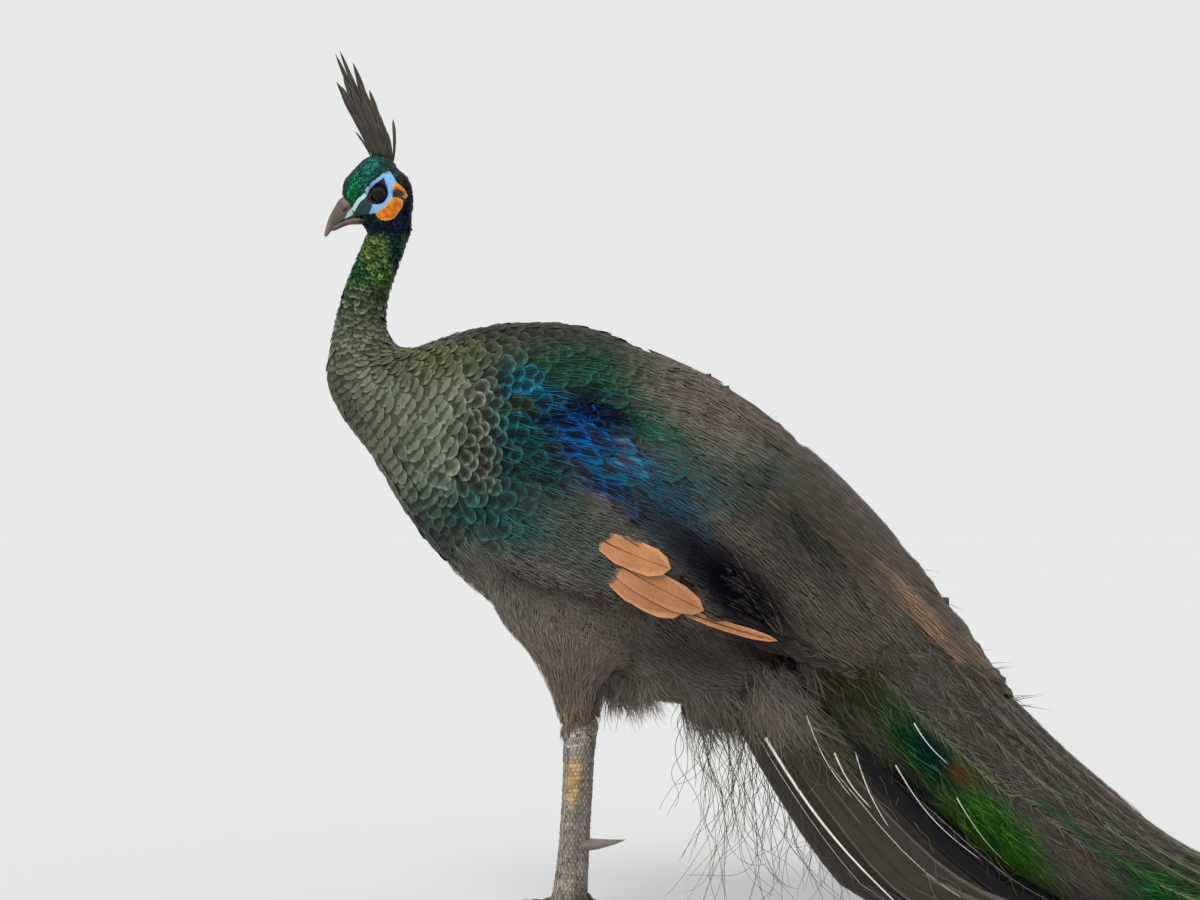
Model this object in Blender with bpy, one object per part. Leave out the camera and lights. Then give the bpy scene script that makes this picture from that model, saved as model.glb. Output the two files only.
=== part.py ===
"""A standing green peafowl cock at life size: neck half raised, wings folded, train laid back along the ground.

Run with: blender --background --python part.py

The bird faces -X and its left side faces -Y. Outlines are drawn in the side view, in millimetres, with x counted
tailwards from the tip of the bill and z up from the ground. The finished bird is then moved so that the origin is
at the bottom centre of its box.
"""

import math

import bmesh
import bpy
import numpy as np
from mathutils import Matrix, Vector

MM = 0.001

# Driving dimensions, in millimetres
GAP = 0.4  # clearance between neighbouring pieces
EYE_RADIUS = 7.6
EYE_PLACE = (50.0, 16.2, 654.0)  # tailwards, sideways from the middle, up
SPUR_LENGTH = 31.0
WORN_SPUR_LENGTH = 17.0  # from the middle of the shank
SPUR_HEIGHT = 64.0
MIDDLE_TOE = 66.0
INNER_TOE = 45.0
OUTER_TOE = 50.0
HIND_TOE = 20.0
CLAW_LENGTH = 14.0
FOOT_SPREAD = 46.0  # from the middle plane to the centre of each foot
TOE_ROOT_SPREAD = 0.32  # half width that a toe may have for each unit of distance from the foot's centre

# Ribs of the body: back or nape edge (x, z), throat or breast edge (x, z), half width
BODY_RIBS = (
    (70, 652, 48, 640, 14),
    (76, 636, 42, 630, 17),
    (75, 614, 36, 617, 18),
    (68, 591, 27, 597, 19),
    (61, 570, 18, 576, 20.5),
    (57, 551, 12, 558, 22.5),
    (58, 534, 6, 537, 26),
    (66, 521, 1, 511, 33),
    (80, 518, 0, 483, 44),
    (104, 526, 14, 453, 57),
    (136, 536, 40, 419, 69),
    (176, 541, 63, 380, 78),
    (225, 539, 91, 340, 84),
    (274, 524, 131, 303, 86),
    (326, 488, 186, 262, 84),
    (370, 438, 246, 222, 76),
    (400, 378, 298, 200, 62),
    (416, 317, 346, 196, 46),
    (421, 266, 385, 206, 26),
    (424, 246, 404, 216, 11),
)
# Lengths that the body is parted into, as places in the list of ribs, and how many rings each has
BODY_LENGTHS = (
    ("neck_upper", 0.0, 3.5, 7),
    ("neck_lower", 3.5, 7.0, 8),
    ("breast", 7.0, 10.5, 8),
    ("trunk", 10.5, 15.0, 9),
    ("rump", 15.0, 19.0, 8),
)
# The head, from the base of the bill to the nape: crown edge, throat edge, half width
HEAD_RIBS = (
    (17, 653, 27, 632, 7.5),
    (20, 667, 37, 626, 12.5),
    (28, 682, 47, 622, 17.5),
    (40, 691, 58, 620, 21),
    (55, 691, 66, 622, 22),
    (67, 682, 73, 628, 20),
    (75, 670, 77, 639, 14),
    (79, 658, 79, 649, 5),
)
UPPER_BILL_RIBS = (
    (22, 654, 31, 632.6, 9),
    (14, 650.5, 24, 632.4, 6.8),
    (8, 642, 16, 630.2, 4.8),
    (3.4, 631.5, 9.2, 626.2, 3.0),
    (0.9, 623, 3.8, 620.6, 1.6),
    (0, 617.6, 1, 617.2, 0.5),
)
LOWER_BILL_RIBS = (
    (32, 632.0, 34, 625.0, 8),
    (25, 631.7, 26, 625.0, 6),
    (17, 629.5, 18.5, 624.4, 4),
    (11, 626.6, 12.5, 623.0, 2.4),
    (7.0, 624.2, 7.6, 623.2, 0.9),
)
# A folded wing: top edge (x, z), bottom edge (x, z), and how far the top edge, the fullest part and the bottom
# edge stand out from the middle plane
WING_RIBS = (
    (120, 462, 110, 408, 60, 66, 62),
    (134, 502, 122, 366, 50, 82, 76),
    (176, 526, 152, 328, 46, 95, 90),
    (248, 527, 212, 303, 32, 101, 94),
    (338, 494, 284, 287, 9, 102, 92),
    (424, 431, 344, 272, 6, 94, 82),
    (490, 364, 412, 249, 5, 80, 68),
    (556, 291, 484, 222, 4, 60, 50),
    (596, 238, 552, 204, 4, 38, 32),
    (617, 209, 603, 200, 3, 18, 15),
)
WING_LENGTHS = (
    ("wing_coverts", 0.0, 4.0, 9),
    ("wing_secondaries", 4.0, 9.0, 11),
)
WING_THICKNESS = 15.0
# The flight feathers that show below the folded wing, in the form of WING_RIBS
PRIMARY_RIBS = (
    (236, 340, 238, 310, 84, 90, 87),
    (270, 330, 268, 292, 84, 92, 88),
    (310, 308, 302, 280, 80, 88, 84),
    (350, 288, 346, 268, 74, 81, 77),
    (388, 268, 384, 256, 66, 71, 68),
    (407, 258, 405, 254, 61, 64, 62),
)
PRIMARY_THICKNESS = 5.0
# The train: upper edge, lower edge, half width. What falls below the ground is made flat on it
TRAIN_RIBS = (
    (404, 432, 384, 300, 40),
    (452, 384, 408, 244, 54),
    (532, 304, 462, 166, 66),
    (611, 211, 552, 90, 82),
    (700, 127, 660, 18, 102),
    (789, 61, 762, -6, 124),
    (900, 37, 896, -10, 146),
    (1058, 27, 1058, -10, 166),
    (1220, 22, 1220, -9, 172),
    (1370, 18, 1370, -7, 158),
    (1480, 13, 1480, -5, 122),
    (1540, 8, 1540, -3, 66),
)
TRAIN_LENGTHS = (
    ("train_base", 0.0, 3.0, 7),
    ("train_fall", 3.0, 5.5, 8),
    ("train_middle", 5.5, 8.0, 6),
    ("train_end", 8.0, 11.0, 8),
)
# The tail under the train, in the same form
TAIL_RIBS = (
    (392, 292, 344, 222, 26),
    (440, 222, 376, 164, 44),
    (506, 148, 418, 92, 58),
    (580, 76, 470, 26, 70),
    (640, 28, 548, -2, 74),
    (690, 7, 650, -3, 60),
)
# A thigh: front edge, back edge, half width, distance from the middle plane
THIGH_RIBS = (
    (146, 330, 300, 300, 30, 46),
    (148, 286, 288, 262, 33, 48),
    (180, 250, 262, 232, 27, 46),
    (199, 219, 246, 213, 18, 41),
    (207, 195, 241, 195, 13, 38),
    (210, 186, 240, 187, 11, 37),
)
# A shank, from the heel to the top of the foot, in the form of THIGH_RIBS; x is for the left leg
SHANK_RIBS = (
    (211, 184, 239, 185, 10.5, 37),
    (214, 171, 237, 174, 9.5, 37.5),
    (215, 152, 233, 154, 7.0, 38.5),
    (214, 120, 231, 121, 6.4, 41),
    (211.5, 80, 228.5, 79, 6.4, 43.5),
    (208, 46, 227, 44, 7.6, 45),
    (203, 22, 226, 20, 9.5, 46),
    (202, 9, 226, 8, 9.5, 46),
)
RIGHT_LEG_SHIFT = 10.0  # the right leg stands this far behind the left one at the ankle
# Plumes of the crest: root (x, z), tip (x, z), half width, lean from the middle plane at the tip
CREST_PLUMES = (
    (43, 688, 23, 737, 3.0, -2),
    (45, 689, 11, 757, 3.8, -5),
    (47, 690, 9, 783, 4.2, 1),
    (50, 690, 13, 780, 4.4, 5),
    (52, 690, 24, 772, 4.6, -1),
    (54, 689, 32, 755, 4.4, -5),
    (56, 688, 39, 744, 4.0, 4),
    (59, 686, 50, 722, 3.2, -3),
    (61, 684, 62, 723, 2.2, 2),
)

# Colours (red, green, blue), roughness and metallic value of each finish
FINISHES = {
    "crown_feathers": ((0.01, 0.16, 0.11), 0.4, 0.3),
    "neck_feathers": ((0.12, 0.16, 0.09), 0.45, 0.3),
    "wing_covert_feathers": ((0.01, 0.10, 0.28), 0.4, 0.35),
    "dark_feathers": ((0.06, 0.05, 0.04), 0.6, 0.1),
    "buff_feathers": ((0.55, 0.28, 0.13), 0.6, 0.0),
    "train_feathers": ((0.05, 0.17, 0.05), 0.5, 0.3),
    "horn": ((0.20, 0.17, 0.14), 0.4, 0.0),
    "bare_skin": ((0.28, 0.25, 0.22), 0.5, 0.0),
    "eye": ((0.03, 0.015, 0.01), 0.05, 0.0),
}


def clear_scene():
    for old in list(bpy.data.objects):
        bpy.data.objects.remove(old, do_unlink=True)


def finish(name):
    """The material of this name, made the first time that it is asked for."""
    material = bpy.data.materials.get(name)
    if material is None:
        colour, roughness, metallic = FINISHES[name]
        material = bpy.data.materials.new(name)
        material.use_nodes = True
        shader = material.node_tree.nodes["Principled BSDF"]
        shader.inputs["Base Color"].default_value = (*colour, 1.0)
        shader.inputs["Roughness"].default_value = roughness
        shader.inputs["Metallic"].default_value = metallic
    return material


def rows_along(ribs, places):
    """The rib at each place along the list, 1.5 being halfway from the second to the third, on a smooth curve."""
    table = np.array(ribs, float)
    rows = []
    for place in places:
        first = min(int(place), len(table) - 2)
        t = place - first
        before = table[first - 1] if first else 2 * table[0] - table[1]
        start, end = table[first], table[first + 1]
        after = table[first + 2] if first + 2 < len(table) else 2 * end - start
        slope_in, slope_out = (end - before) / 2, (after - start) / 2
        rows.append(
            (2 * t**3 - 3 * t**2 + 1) * start
            + (t**3 - 2 * t**2 + t) * slope_in
            + (3 * t**2 - 2 * t**3) * end
            + (t**3 - t**2) * slope_out
        )
    return rows


def oval_ring(row, sides, swell=0.0, mirror=1):
    """Points around a rib: edge (x, z), opposite edge (x, z), half width and, if given, distance from the middle.

    What would fall below the ground is made flat on it, in the plane of the rib.
    """
    top, bottom = Vector((row[0], 0, row[1])), Vector((row[2], 0, row[3]))
    middle = (top + bottom) / 2
    if len(row) > 5:
        middle.y = mirror * row[5]
    up = (top - bottom) / 2
    up *= 1 + swell / up.length
    out = Vector((0, mirror * (row[4] + swell), 0))
    points = []
    for a in (2 * math.pi * k / sides for k in range(sides)):
        rise = up * math.cos(a)
        if middle.z + rise.z < 0:
            rise *= -middle.z / rise.z
        points.append(middle + rise + out * math.sin(a))
    return points


def plate_ring(row, thickness, steps, swell=0.0, mirror=1):
    """Points around a slice of a folded wing: down its bulging outside and back up its inside."""
    top, bottom = Vector((row[0], 0, row[1])), Vector((row[2], 0, row[3]))
    top_out, full_out, bottom_out = row[4:7]
    fullest = 0.6  # share of the way down at which the wing stands out most
    along = (top - bottom).normalized()
    outside, inside = [], []
    for k in range(steps + 1):
        v = 0.5 - 0.5 * math.cos(math.pi * k / steps)
        if v < fullest:
            out = top_out + (full_out - top_out) * math.sqrt(1 - (1 - v / fullest) ** 2)
        else:
            out = full_out - (full_out - bottom_out) * ((v - fullest) / (1 - fullest)) ** 2
        depth = thickness * (0.25 + 0.75 * math.sqrt(math.sin(math.pi * v)))
        place = top.lerp(bottom, v) + along * swell * (1 - 2 * v)
        outside.append(place + Vector((0, mirror * (out + swell), 0)))
        inner = max(out - depth - swell, 0.5 * GAP)
        inside.append(place + Vector((0, mirror * inner, 0)))
    return outside + inside[::-1]


def solid(name, rings, material, ground=False):
    """A closed object through the rings, in order. With ground, nothing reaches below the ground."""
    form = bmesh.new()
    loops = []
    for ring in rings:
        points = [Vector((p.x, p.y, max(p.z, 0.0))) if ground else p for p in ring]
        loops.append([form.verts.new(p * MM) for p in points])
    for low, high in zip(loops, loops[1:]):
        for k, corner in enumerate(low):
            following = (k + 1) % len(low)
            form.faces.new((corner, low[following], high[following], high[k]))
    form.faces.new(loops[0])
    form.faces.new(loops[-1])
    bmesh.ops.remove_doubles(form, verts=form.verts, dist=1e-6)
    bmesh.ops.dissolve_degenerate(form, edges=form.edges, dist=1e-6)
    bmesh.ops.recalc_face_normals(form, faces=form.faces)
    mesh = bpy.data.meshes.new(name)
    form.to_mesh(mesh)
    form.free()
    return placed(name, mesh, material)


def placed(name, mesh, material):
    made = bpy.data.objects.new(name, mesh)
    bpy.context.scene.collection.objects.link(made)
    mesh.materials.append(finish(material))
    mesh.shade_smooth()
    mesh.set_sharp_from_angle(angle=math.radians(40))
    return made


def spaced(start, end, count):
    return [start + (end - start) * k / (count - 1) for k in range(count)]


def cutter_of(name, rings, ground=False):
    """A hidden solid that other pieces are cut back from."""
    made = solid(name, rings, "dark_feathers", ground)
    made.hide_render = True
    made.display_type = "WIRE"
    return made


def joined_or_cut(target, other, operation):
    change = target.modifiers.new(operation.title(), "BOOLEAN")
    change.operation = operation
    change.solver = "EXACT"
    change.object = other
    change.show_render = change.show_viewport


def cut_back(target, *cutters):
    for cutter in cutters:
        joined_or_cut(target, cutter, "DIFFERENCE")


def rows_by_length(ribs, lengths):
    """The rows of each named length that a row of ribs is parted into, with a thin gap before the next length."""
    table = {}
    for name, start, end, count in lengths:
        stop = end
        if end < len(ribs) - 1:
            before, here = rows_along(ribs, (end - 0.5, end))
            shift = (here[:4] - before[:4]) / 0.5
            pace = min(math.hypot(*shift[:2]), math.hypot(*shift[2:]))  # millimetres for one step along the list
            stop = end - GAP / pace
        table[name] = rows_along(ribs, spaced(start, stop, count))
    return table


def rows_of_all(table):
    return [row for rows in table.values() for row in rows]


def body_cutter():
    rows = rows_of_all(rows_by_length(BODY_RIBS, BODY_LENGTHS))
    return cutter_of("body_cutter", [oval_ring(row, 20, 2 * GAP) for row in rows])


def head_cutter():
    rows = rows_along(HEAD_RIBS, spaced(0, len(HEAD_RIBS) - 1, 12))
    return cutter_of("head_cutter", [oval_ring(row, 18, GAP) for row in rows])


def make_body(head):
    """Neck, breast, trunk and rump, one length after another, with the head's hollow in the top of the neck."""
    for name, rows in rows_by_length(BODY_RIBS, BODY_LENGTHS).items():
        finish_name = "dark_feathers" if name in ("trunk", "rump") else "neck_feathers"
        made = solid(name, [oval_ring(row, 20) for row in rows], finish_name)
        if name == "neck_upper":
            cut_back(made, head)


def rounded_end(last, before, shrink=0.55, reach=0.5):
    """A smaller ring past the last one, which rounds off an end."""
    middle = sum(last, Vector()) / len(last)
    ahead = (middle - sum(before, Vector()) / len(before)) * reach
    return [middle + ahead + (p - middle) * shrink for p in last]


def make_head():
    """The head with its two eyes set in it."""
    rows = rows_along(HEAD_RIBS, spaced(0, len(HEAD_RIBS) - 1, 12))
    head = solid("head", [oval_ring(row, 18) for row in rows], "crown_feathers")
    for side, mirror in (("left", -1), ("right", 1)):
        centre = Vector((EYE_PLACE[0], mirror * EYE_PLACE[1], EYE_PLACE[2])) * MM
        for name, radius in ((f"eye_{side}", EYE_RADIUS), (f"socket_cutter_{side}", EYE_RADIUS + GAP)):
            form = bmesh.new()
            bmesh.ops.create_icosphere(
                form, subdivisions=2, radius=radius * MM, matrix=Matrix.Translation(centre)
            )
            mesh = bpy.data.meshes.new(name)
            form.to_mesh(mesh)
            form.free()
            ball = placed(name, mesh, "eye")
        ball.hide_render = True
        ball.display_type = "WIRE"
        cut_back(head, ball)
    return head


def make_bill(head):
    for name, ribs, count in (("bill_upper", UPPER_BILL_RIBS, 9), ("bill_lower", LOWER_BILL_RIBS, 6)):
        rows = rows_along(ribs, spaced(0, len(ribs) - 1, count))
        bill = solid(name, [oval_ring(row, 10) for row in rows], "horn")
        cut_back(bill, head)


def plume_rings(root, tip, half_width, lean):
    """Rings along one crest plume: narrow at the root, fullest past the middle, drawn to a point."""
    start, end = Vector((root[0], 0, root[1])), Vector((tip[0], lean, tip[1]))
    along = (end - start).normalized()
    across = along.cross(Vector((0, 1, 0))).normalized()
    rings = []
    for t in (0.0, 0.3, 0.6, 0.85, 1.0):
        bow = 0.04 * math.sin(math.pi * t) * (end - start).length
        width = half_width * (0.75 + 0.5 * math.sin(math.pi * t)) * (1 - t**4) + 0.35
        middle = start.lerp(end, t) - across * bow
        turns = [2 * math.pi * k / 5 for k in range(5)]
        rings.append(
            [middle + across * width * math.cos(a) + Vector((0, 0.45 * width, 0)) * math.sin(a) for a in turns]
        )
    return rings


def make_crest(head):
    """The plumes, joined at a low tuft on the crown."""
    tuft_ribs = ((40, 684, 66, 680, 7), (41, 693, 63, 688, 5), (42, 700, 60, 696, 3))
    tuft_rows = rows_along(tuft_ribs, spaced(0, len(tuft_ribs) - 1, 4))
    crest = solid("crest", [oval_ring(row, 10) for row in tuft_rows], "dark_feathers")
    for count, (x0, z0, x1, z1, half_width, lean) in enumerate(CREST_PLUMES):
        plume = cutter_of(f"plume_{count}", plume_rings((x0, z0), (x1, z1), half_width, lean))
        joined_or_cut(crest, plume, "UNION")
    cut_back(crest, head)


def make_wing(side, mirror, body, thigh):
    """A folded wing in two lengths, with the buff flight feathers below it. It returns the wing's cutter."""
    table = rows_by_length(WING_RIBS, WING_LENGTHS)
    for name, rows in table.items():
        rings = [plate_ring(row, WING_THICKNESS, 6, mirror=mirror) for row in rows]
        finish_name = "wing_covert_feathers" if name == "wing_coverts" else "dark_feathers"
        cut_back(solid(f"{name}_{side}", rings, finish_name), body)
    whole = cutter_of(
        f"wing_cutter_{side}",
        [plate_ring(row, WING_THICKNESS, 6, 2.5 * GAP, mirror) for row in rows_of_all(table)],
    )
    rows = rows_along(PRIMARY_RIBS, spaced(0, len(PRIMARY_RIBS) - 1, 6))
    rings = [plate_ring(row, PRIMARY_THICKNESS, 6, mirror=mirror) for row in rows]
    cut_back(solid(f"wing_primaries_{side}", rings, "buff_feathers"), body, whole, thigh)
    return whole


def make_train(body, wings):
    table = rows_by_length(TRAIN_RIBS, TRAIN_LENGTHS)
    for name, rows in table.items():
        rings = [oval_ring(row, 14) for row in rows]
        if name == "train_end":
            rings.append(rounded_end(rings[-1], rings[-2]))
        made = solid(name, rings, "train_feathers", ground=True)
        if name == "train_base":
            cut_back(made, body, *wings)
        if name == "train_fall":
            cut_back(made, *wings)
    rings = [oval_ring(row, 14, 3 * GAP) for row in rows_of_all(table)]
    return cutter_of("train_cutter", rings, ground=True)


def make_tail(body, train):
    rows = rows_along(TAIL_RIBS, spaced(0, len(TAIL_RIBS) - 1, 8))
    rings = [oval_ring(row, 14) for row in rows]
    cut_back(solid("tail", rings, "dark_feathers", ground=True), body, train)


def make_leg(side, mirror, shift, body):
    """Thigh, shank, spur, toes and claws. The shift moves the lower leg back. It returns the thigh's cutter."""
    ankle_top = THIGH_RIBS[0][1]

    def moved(ribs):
        """The ribs moved back, more the lower they are on the thigh."""
        return [
            (
                r[0] + shift * min(1.0, (ankle_top - r[1]) / 140),
                r[1],
                r[2] + shift * min(1.0, (ankle_top - r[1]) / 140),
                *r[3:],
            )
            for r in ribs
        ]

    thigh_rows = rows_along(moved(THIGH_RIBS), spaced(0, len(THIGH_RIBS) - 1, 8))
    thigh = solid(f"thigh_{side}", [oval_ring(r, 14, mirror=mirror) for r in thigh_rows], "dark_feathers")
    cut_back(thigh, body)
    cutter = cutter_of(f"thigh_cutter_{side}", [oval_ring(r, 14, GAP, mirror) for r in thigh_rows])
    shank_rows = rows_along(moved(SHANK_RIBS), spaced(0, len(SHANK_RIBS) - 1, 10))
    shank_rings = [oval_ring(r, 10, mirror=mirror) for r in shank_rows]
    solid(f"shank_{side}", shank_rings, "bare_skin", ground=True)
    shank = cutter_of(f"shank_cutter_{side}", [oval_ring(r, 10, GAP, mirror) for r in shank_rows], ground=True)
    make_spur(side, mirror, shift, shank)
    make_toes(side, mirror, shift, shank)
    return cutter


def horn_rings(root, tip, radius, bend, sides=7):
    """Rings of a curved cone from root to tip; bend is how far its middle is moved."""
    along = (tip - root).normalized()
    across = along.cross(Vector((0, 1, 0)))
    if across.length < 0.1:
        across = along.cross(Vector((1, 0, 0)))
    across.normalize()
    other = along.cross(across)
    rings = []
    for t in (0.0, 0.4, 0.78, 1.0):
        middle = root.lerp(tip, t) + bend * math.sin(math.pi * t)
        r = radius * (1 - t) ** 0.8 + 0.3
        turns = [2 * math.pi * k / sides for k in range(sides)]
        rings.append([middle + across * r * math.cos(a) + other * r * math.sin(a) for a in turns])
    return rings


def make_spur(side, mirror, shift, shank):
    """A long spur on the back of the right leg, and a worn one on the inside of the left."""
    root = Vector((219 + shift, mirror * 43.5, SPUR_HEIGHT))
    reach = Vector((SPUR_LENGTH + 11, mirror * -4.0, 5.0))
    if side == "left":
        reach = Vector((4.0, mirror * -WORN_SPUR_LENGTH, 1.0))
    spur = solid(f"spur_{side}", horn_rings(root, root + reach, 7.0, Vector((0, 0, -1.5))), "horn")
    cut_back(spur, shank)


def make_toes(side, mirror, shift, shank):
    """Three toes forward and one back, each with its claw, on small flats at ground level."""
    foot = Vector((213 + shift, mirror * FOOT_SPREAD, 0))
    toes = (
        ("inner", INNER_TOE, 180 + mirror * 37, 9.0, 10.5),
        ("middle", MIDDLE_TOE, 180 - mirror * 4, 9.5, 10.5),
        ("outer", OUTER_TOE, 180 - mirror * 45, 9.0, 10.5),
        ("hind", HIND_TOE, mirror * 20, 11.0, 15.0),
    )
    for name, length, heading, start, height in toes:
        turn = math.radians(heading)
        ahead = Vector((math.cos(turn), math.sin(turn), 0))
        aside = Vector((-ahead.y, ahead.x, 0))
        joints = 4 if name == "middle" else 3
        rings = []
        for k in range(joints * 2 + 1):
            t = k / (joints * 2)
            pad = 1 + 0.13 * math.cos(2 * math.pi * joints * t + math.pi)
            r = (5.4 - 1.9 * t) * pad
            rise = (height - 4.0) * (1 - t) ** 2 + r * 0.93
            middle = foot + ahead * (start + length * t) + Vector((0, 0, rise))
            width = min(0.92 * r, TOE_ROOT_SPREAD * (start + length * t))
            turns = [2 * math.pi * j / 8 for j in range(8)]
            rings.append(
                [middle + aside * width * math.cos(a) + Vector((0, 0, r)) * math.sin(a) for a in turns]
            )
        toe = solid(f"toe_{name}_{side}", rings, "bare_skin", ground=True)
        cut_back(toe, shank)
        root = foot + ahead * (start + length + 3 * GAP) + Vector((0, 0, 4.3))
        tip = root + ahead * CLAW_LENGTH + Vector((0, 0, -3.6))
        solid(f"claw_{name}_{side}", horn_rings(root, tip, 3.0, Vector((0, 0, 1.6))), "horn")


def place_on_origin():
    """Moves the bird so that the origin is at the bottom centre of its box."""
    shown = [piece for piece in bpy.data.objects if not piece.hide_render]
    points = [corner.co for piece in shown for corner in piece.data.vertices]
    middle_x = (min(p.x for p in points) + max(p.x for p in points)) / 2
    for piece in bpy.data.objects:
        piece.data.transform(Matrix.Translation((-middle_x, 0, 0)))


def main():
    clear_scene()
    head_space = head_cutter()
    body_space = body_cutter()
    make_body(head_space)
    make_head()
    make_bill(head_space)
    make_crest(head_space)
    wings = []
    for side, mirror, shift in (("left", -1, 0.0), ("right", 1, RIGHT_LEG_SHIFT)):
        thigh_space = make_leg(side, mirror, shift, body_space)
        wings.append(make_wing(side, mirror, body_space, thigh_space))
    train_space = make_train(body_space, wings)
    make_tail(body_space, train_space)
    place_on_origin()


main()
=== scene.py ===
import math

import bmesh
import bpy
import numpy as np
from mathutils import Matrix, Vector
from mathutils.bvhtree import BVHTree
from numpy.polynomial import polynomial

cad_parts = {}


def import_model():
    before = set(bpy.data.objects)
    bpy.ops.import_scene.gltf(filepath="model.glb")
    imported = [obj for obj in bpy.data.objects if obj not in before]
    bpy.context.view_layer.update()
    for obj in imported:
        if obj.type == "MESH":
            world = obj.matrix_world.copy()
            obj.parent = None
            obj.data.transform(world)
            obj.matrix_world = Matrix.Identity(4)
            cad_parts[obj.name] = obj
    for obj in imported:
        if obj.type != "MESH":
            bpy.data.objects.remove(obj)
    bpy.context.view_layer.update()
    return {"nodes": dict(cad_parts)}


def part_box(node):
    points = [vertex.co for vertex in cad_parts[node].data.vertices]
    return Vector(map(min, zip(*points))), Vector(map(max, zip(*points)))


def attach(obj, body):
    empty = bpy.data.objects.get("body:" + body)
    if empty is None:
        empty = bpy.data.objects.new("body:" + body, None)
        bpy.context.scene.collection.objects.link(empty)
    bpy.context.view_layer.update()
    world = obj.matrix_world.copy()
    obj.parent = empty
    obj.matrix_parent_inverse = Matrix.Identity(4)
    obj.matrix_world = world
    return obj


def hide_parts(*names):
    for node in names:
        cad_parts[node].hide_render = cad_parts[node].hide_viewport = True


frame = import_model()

mm = 0.001
chance = np.random.default_rng(7)
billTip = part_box("bill_upper")[0].x   # places below are millimetres tailwards from here, sideways, and up
sides = {"left": -1, "right": 1}
allRound = (0, 2 * math.pi)
swell = 0.0006   # closes the thin gaps between the nodes, before they are made one


def world(points):
    moved = np.asarray(points, float) * mm
    moved[..., 0] += billTip
    return moved


def birdPlace(points):   # the way back, from metres in the frame
    moved = np.array(points, float)
    moved[..., 0] -= billTip
    return moved / mm


def colour(red, green, blue):   # 0 to 255 as a screen shows them, to linear light
    levels = np.array([red, green, blue]) / 255
    return np.where(levels < 0.04045, levels / 12.92, ((levels + 0.055) / 1.055) ** 2.4)


def unit(vectors):
    return vectors / np.maximum(np.linalg.norm(vectors, axis=-1, keepdims=True), 1e-9)


def ramp(value, low, high):
    share = np.clip((value - low) / (high - low), 0, 1)
    return share * share * (3 - 2 * share)


def between(one, two, share):
    return one + (two - one) * share


def deselectAll():
    for other in list(bpy.context.selected_objects):
        other.select_set(False)


def activate(piece):
    deselectAll()
    piece.select_set(True)
    bpy.context.view_layer.objects.active = piece


def applyModifier(piece, kind, **settings):
    activate(piece)
    bpy.ops.object.modifier_add(type=kind)
    change = piece.modifiers[-1]
    for key, value in settings.items():
        setattr(change, key, value)
    bpy.ops.object.modifier_apply(modifier=change.name)


def added(name, data):   # a new object in the scene
    made = bpy.data.objects.new(name, data)
    bpy.context.scene.collection.objects.link(made)
    return made


def formed(name, nodes, voxel, smoothing, swollen=0.0):   # one smooth closed mesh from copies of these nodes
    copies = []
    for node in nodes:
        copied = added(node + "_copy", frame["nodes"][node].data.copy())
        copied.data.materials.clear()
        activate(copied)
        bpy.ops.object.mode_set(mode="EDIT")
        bpy.ops.mesh.select_all(action="SELECT")
        bpy.ops.mesh.remove_doubles(threshold=1e-5)
        bpy.ops.object.mode_set(mode="OBJECT")
        if swollen:
            applyModifier(copied, "DISPLACE", strength=swollen, mid_level=0.0)
        copies.append(copied)
    activate(copies[0])
    for copied in copies:
        copied.select_set(True)
    if len(copies) > 1:
        bpy.ops.object.join()
    made = bpy.context.view_layer.objects.active
    made.name = made.data.name = name
    applyModifier(made, "REMESH", mode="VOXEL", voxel_size=voxel)
    applyModifier(made, "SMOOTH", factor=0.5, iterations=smoothing)
    return made


def coordinates(piece, kind="co"):
    flat = np.empty(len(piece.data.vertices) * 3)
    piece.data.vertices.foreach_get(kind, flat)
    return flat.reshape(-1, 3)


def setCoordinates(piece, points):
    piece.data.vertices.foreach_set("co", points.ravel())
    piece.data.update()


def storeColours(mesh, name, colours, alpha=1.0):
    full = np.ones((len(mesh.vertices), 4))
    full[:, :3] = colours
    full[:, 3] = alpha
    mesh.color_attributes.new(name, "FLOAT_COLOR", "POINT").data.foreach_set("color", full.ravel())


def storeTints(piece, shades, rims, gloss, each=1):   # middle colour, rim colour and gloss, each for so many vertices
    for label, tone in (("tint", shades), ("rim", rims)):
        storeColours(piece.data, label, np.repeat(tone, each, 0), np.repeat(np.broadcast_to(gloss, len(tone)), each))


def shadeSmooth(piece, angle=50):
    piece.data.shade_smooth()
    piece.data.set_sharp_from_angle(angle=math.radians(angle))


def finished(piece, material, slotName, *nodes):   # material, body and the nodes it stands for; slotName is not used
    piece.data.materials.clear()
    piece.data.materials.append(material)
    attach(piece, "root")
    if nodes:
        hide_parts(*nodes)
    return piece


def feed(tree, place, value):   # a link, a colour or a number, into a socket
    if isinstance(value, Socket):
        tree.links.new(value.link, place)
    else:
        place.default_value = (*value, 1.0) if np.ndim(value) else value


class Socket:   # a shader socket, with maths on it
    def __init__(self, tree, link):
        self.tree, self.link = tree, link

    def maths(self, operation, *others):
        made = self.tree.nodes.new("ShaderNodeMath")
        made.operation = operation
        for place, value in zip(made.inputs, (self, *others)):
            feed(self.tree, place, value)
        return Socket(self.tree, made.outputs[0])

    def __rsub__(self, other):
        return self * -1 + other


for method, operation in (("__add__", "ADD"), ("__radd__", "ADD"), ("__mul__", "MULTIPLY"), ("__rmul__", "MULTIPLY"),
                          ("__sub__", "SUBTRACT"), ("__pow__", "POWER"), ("__abs__", "ABSOLUTE"), ("sine", "SINE"),
                          ("max", "MAXIMUM"), ("min", "MINIMUM")):
    setattr(Socket, method, lambda self, *others, operation=operation: self.maths(operation, *others))


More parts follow.
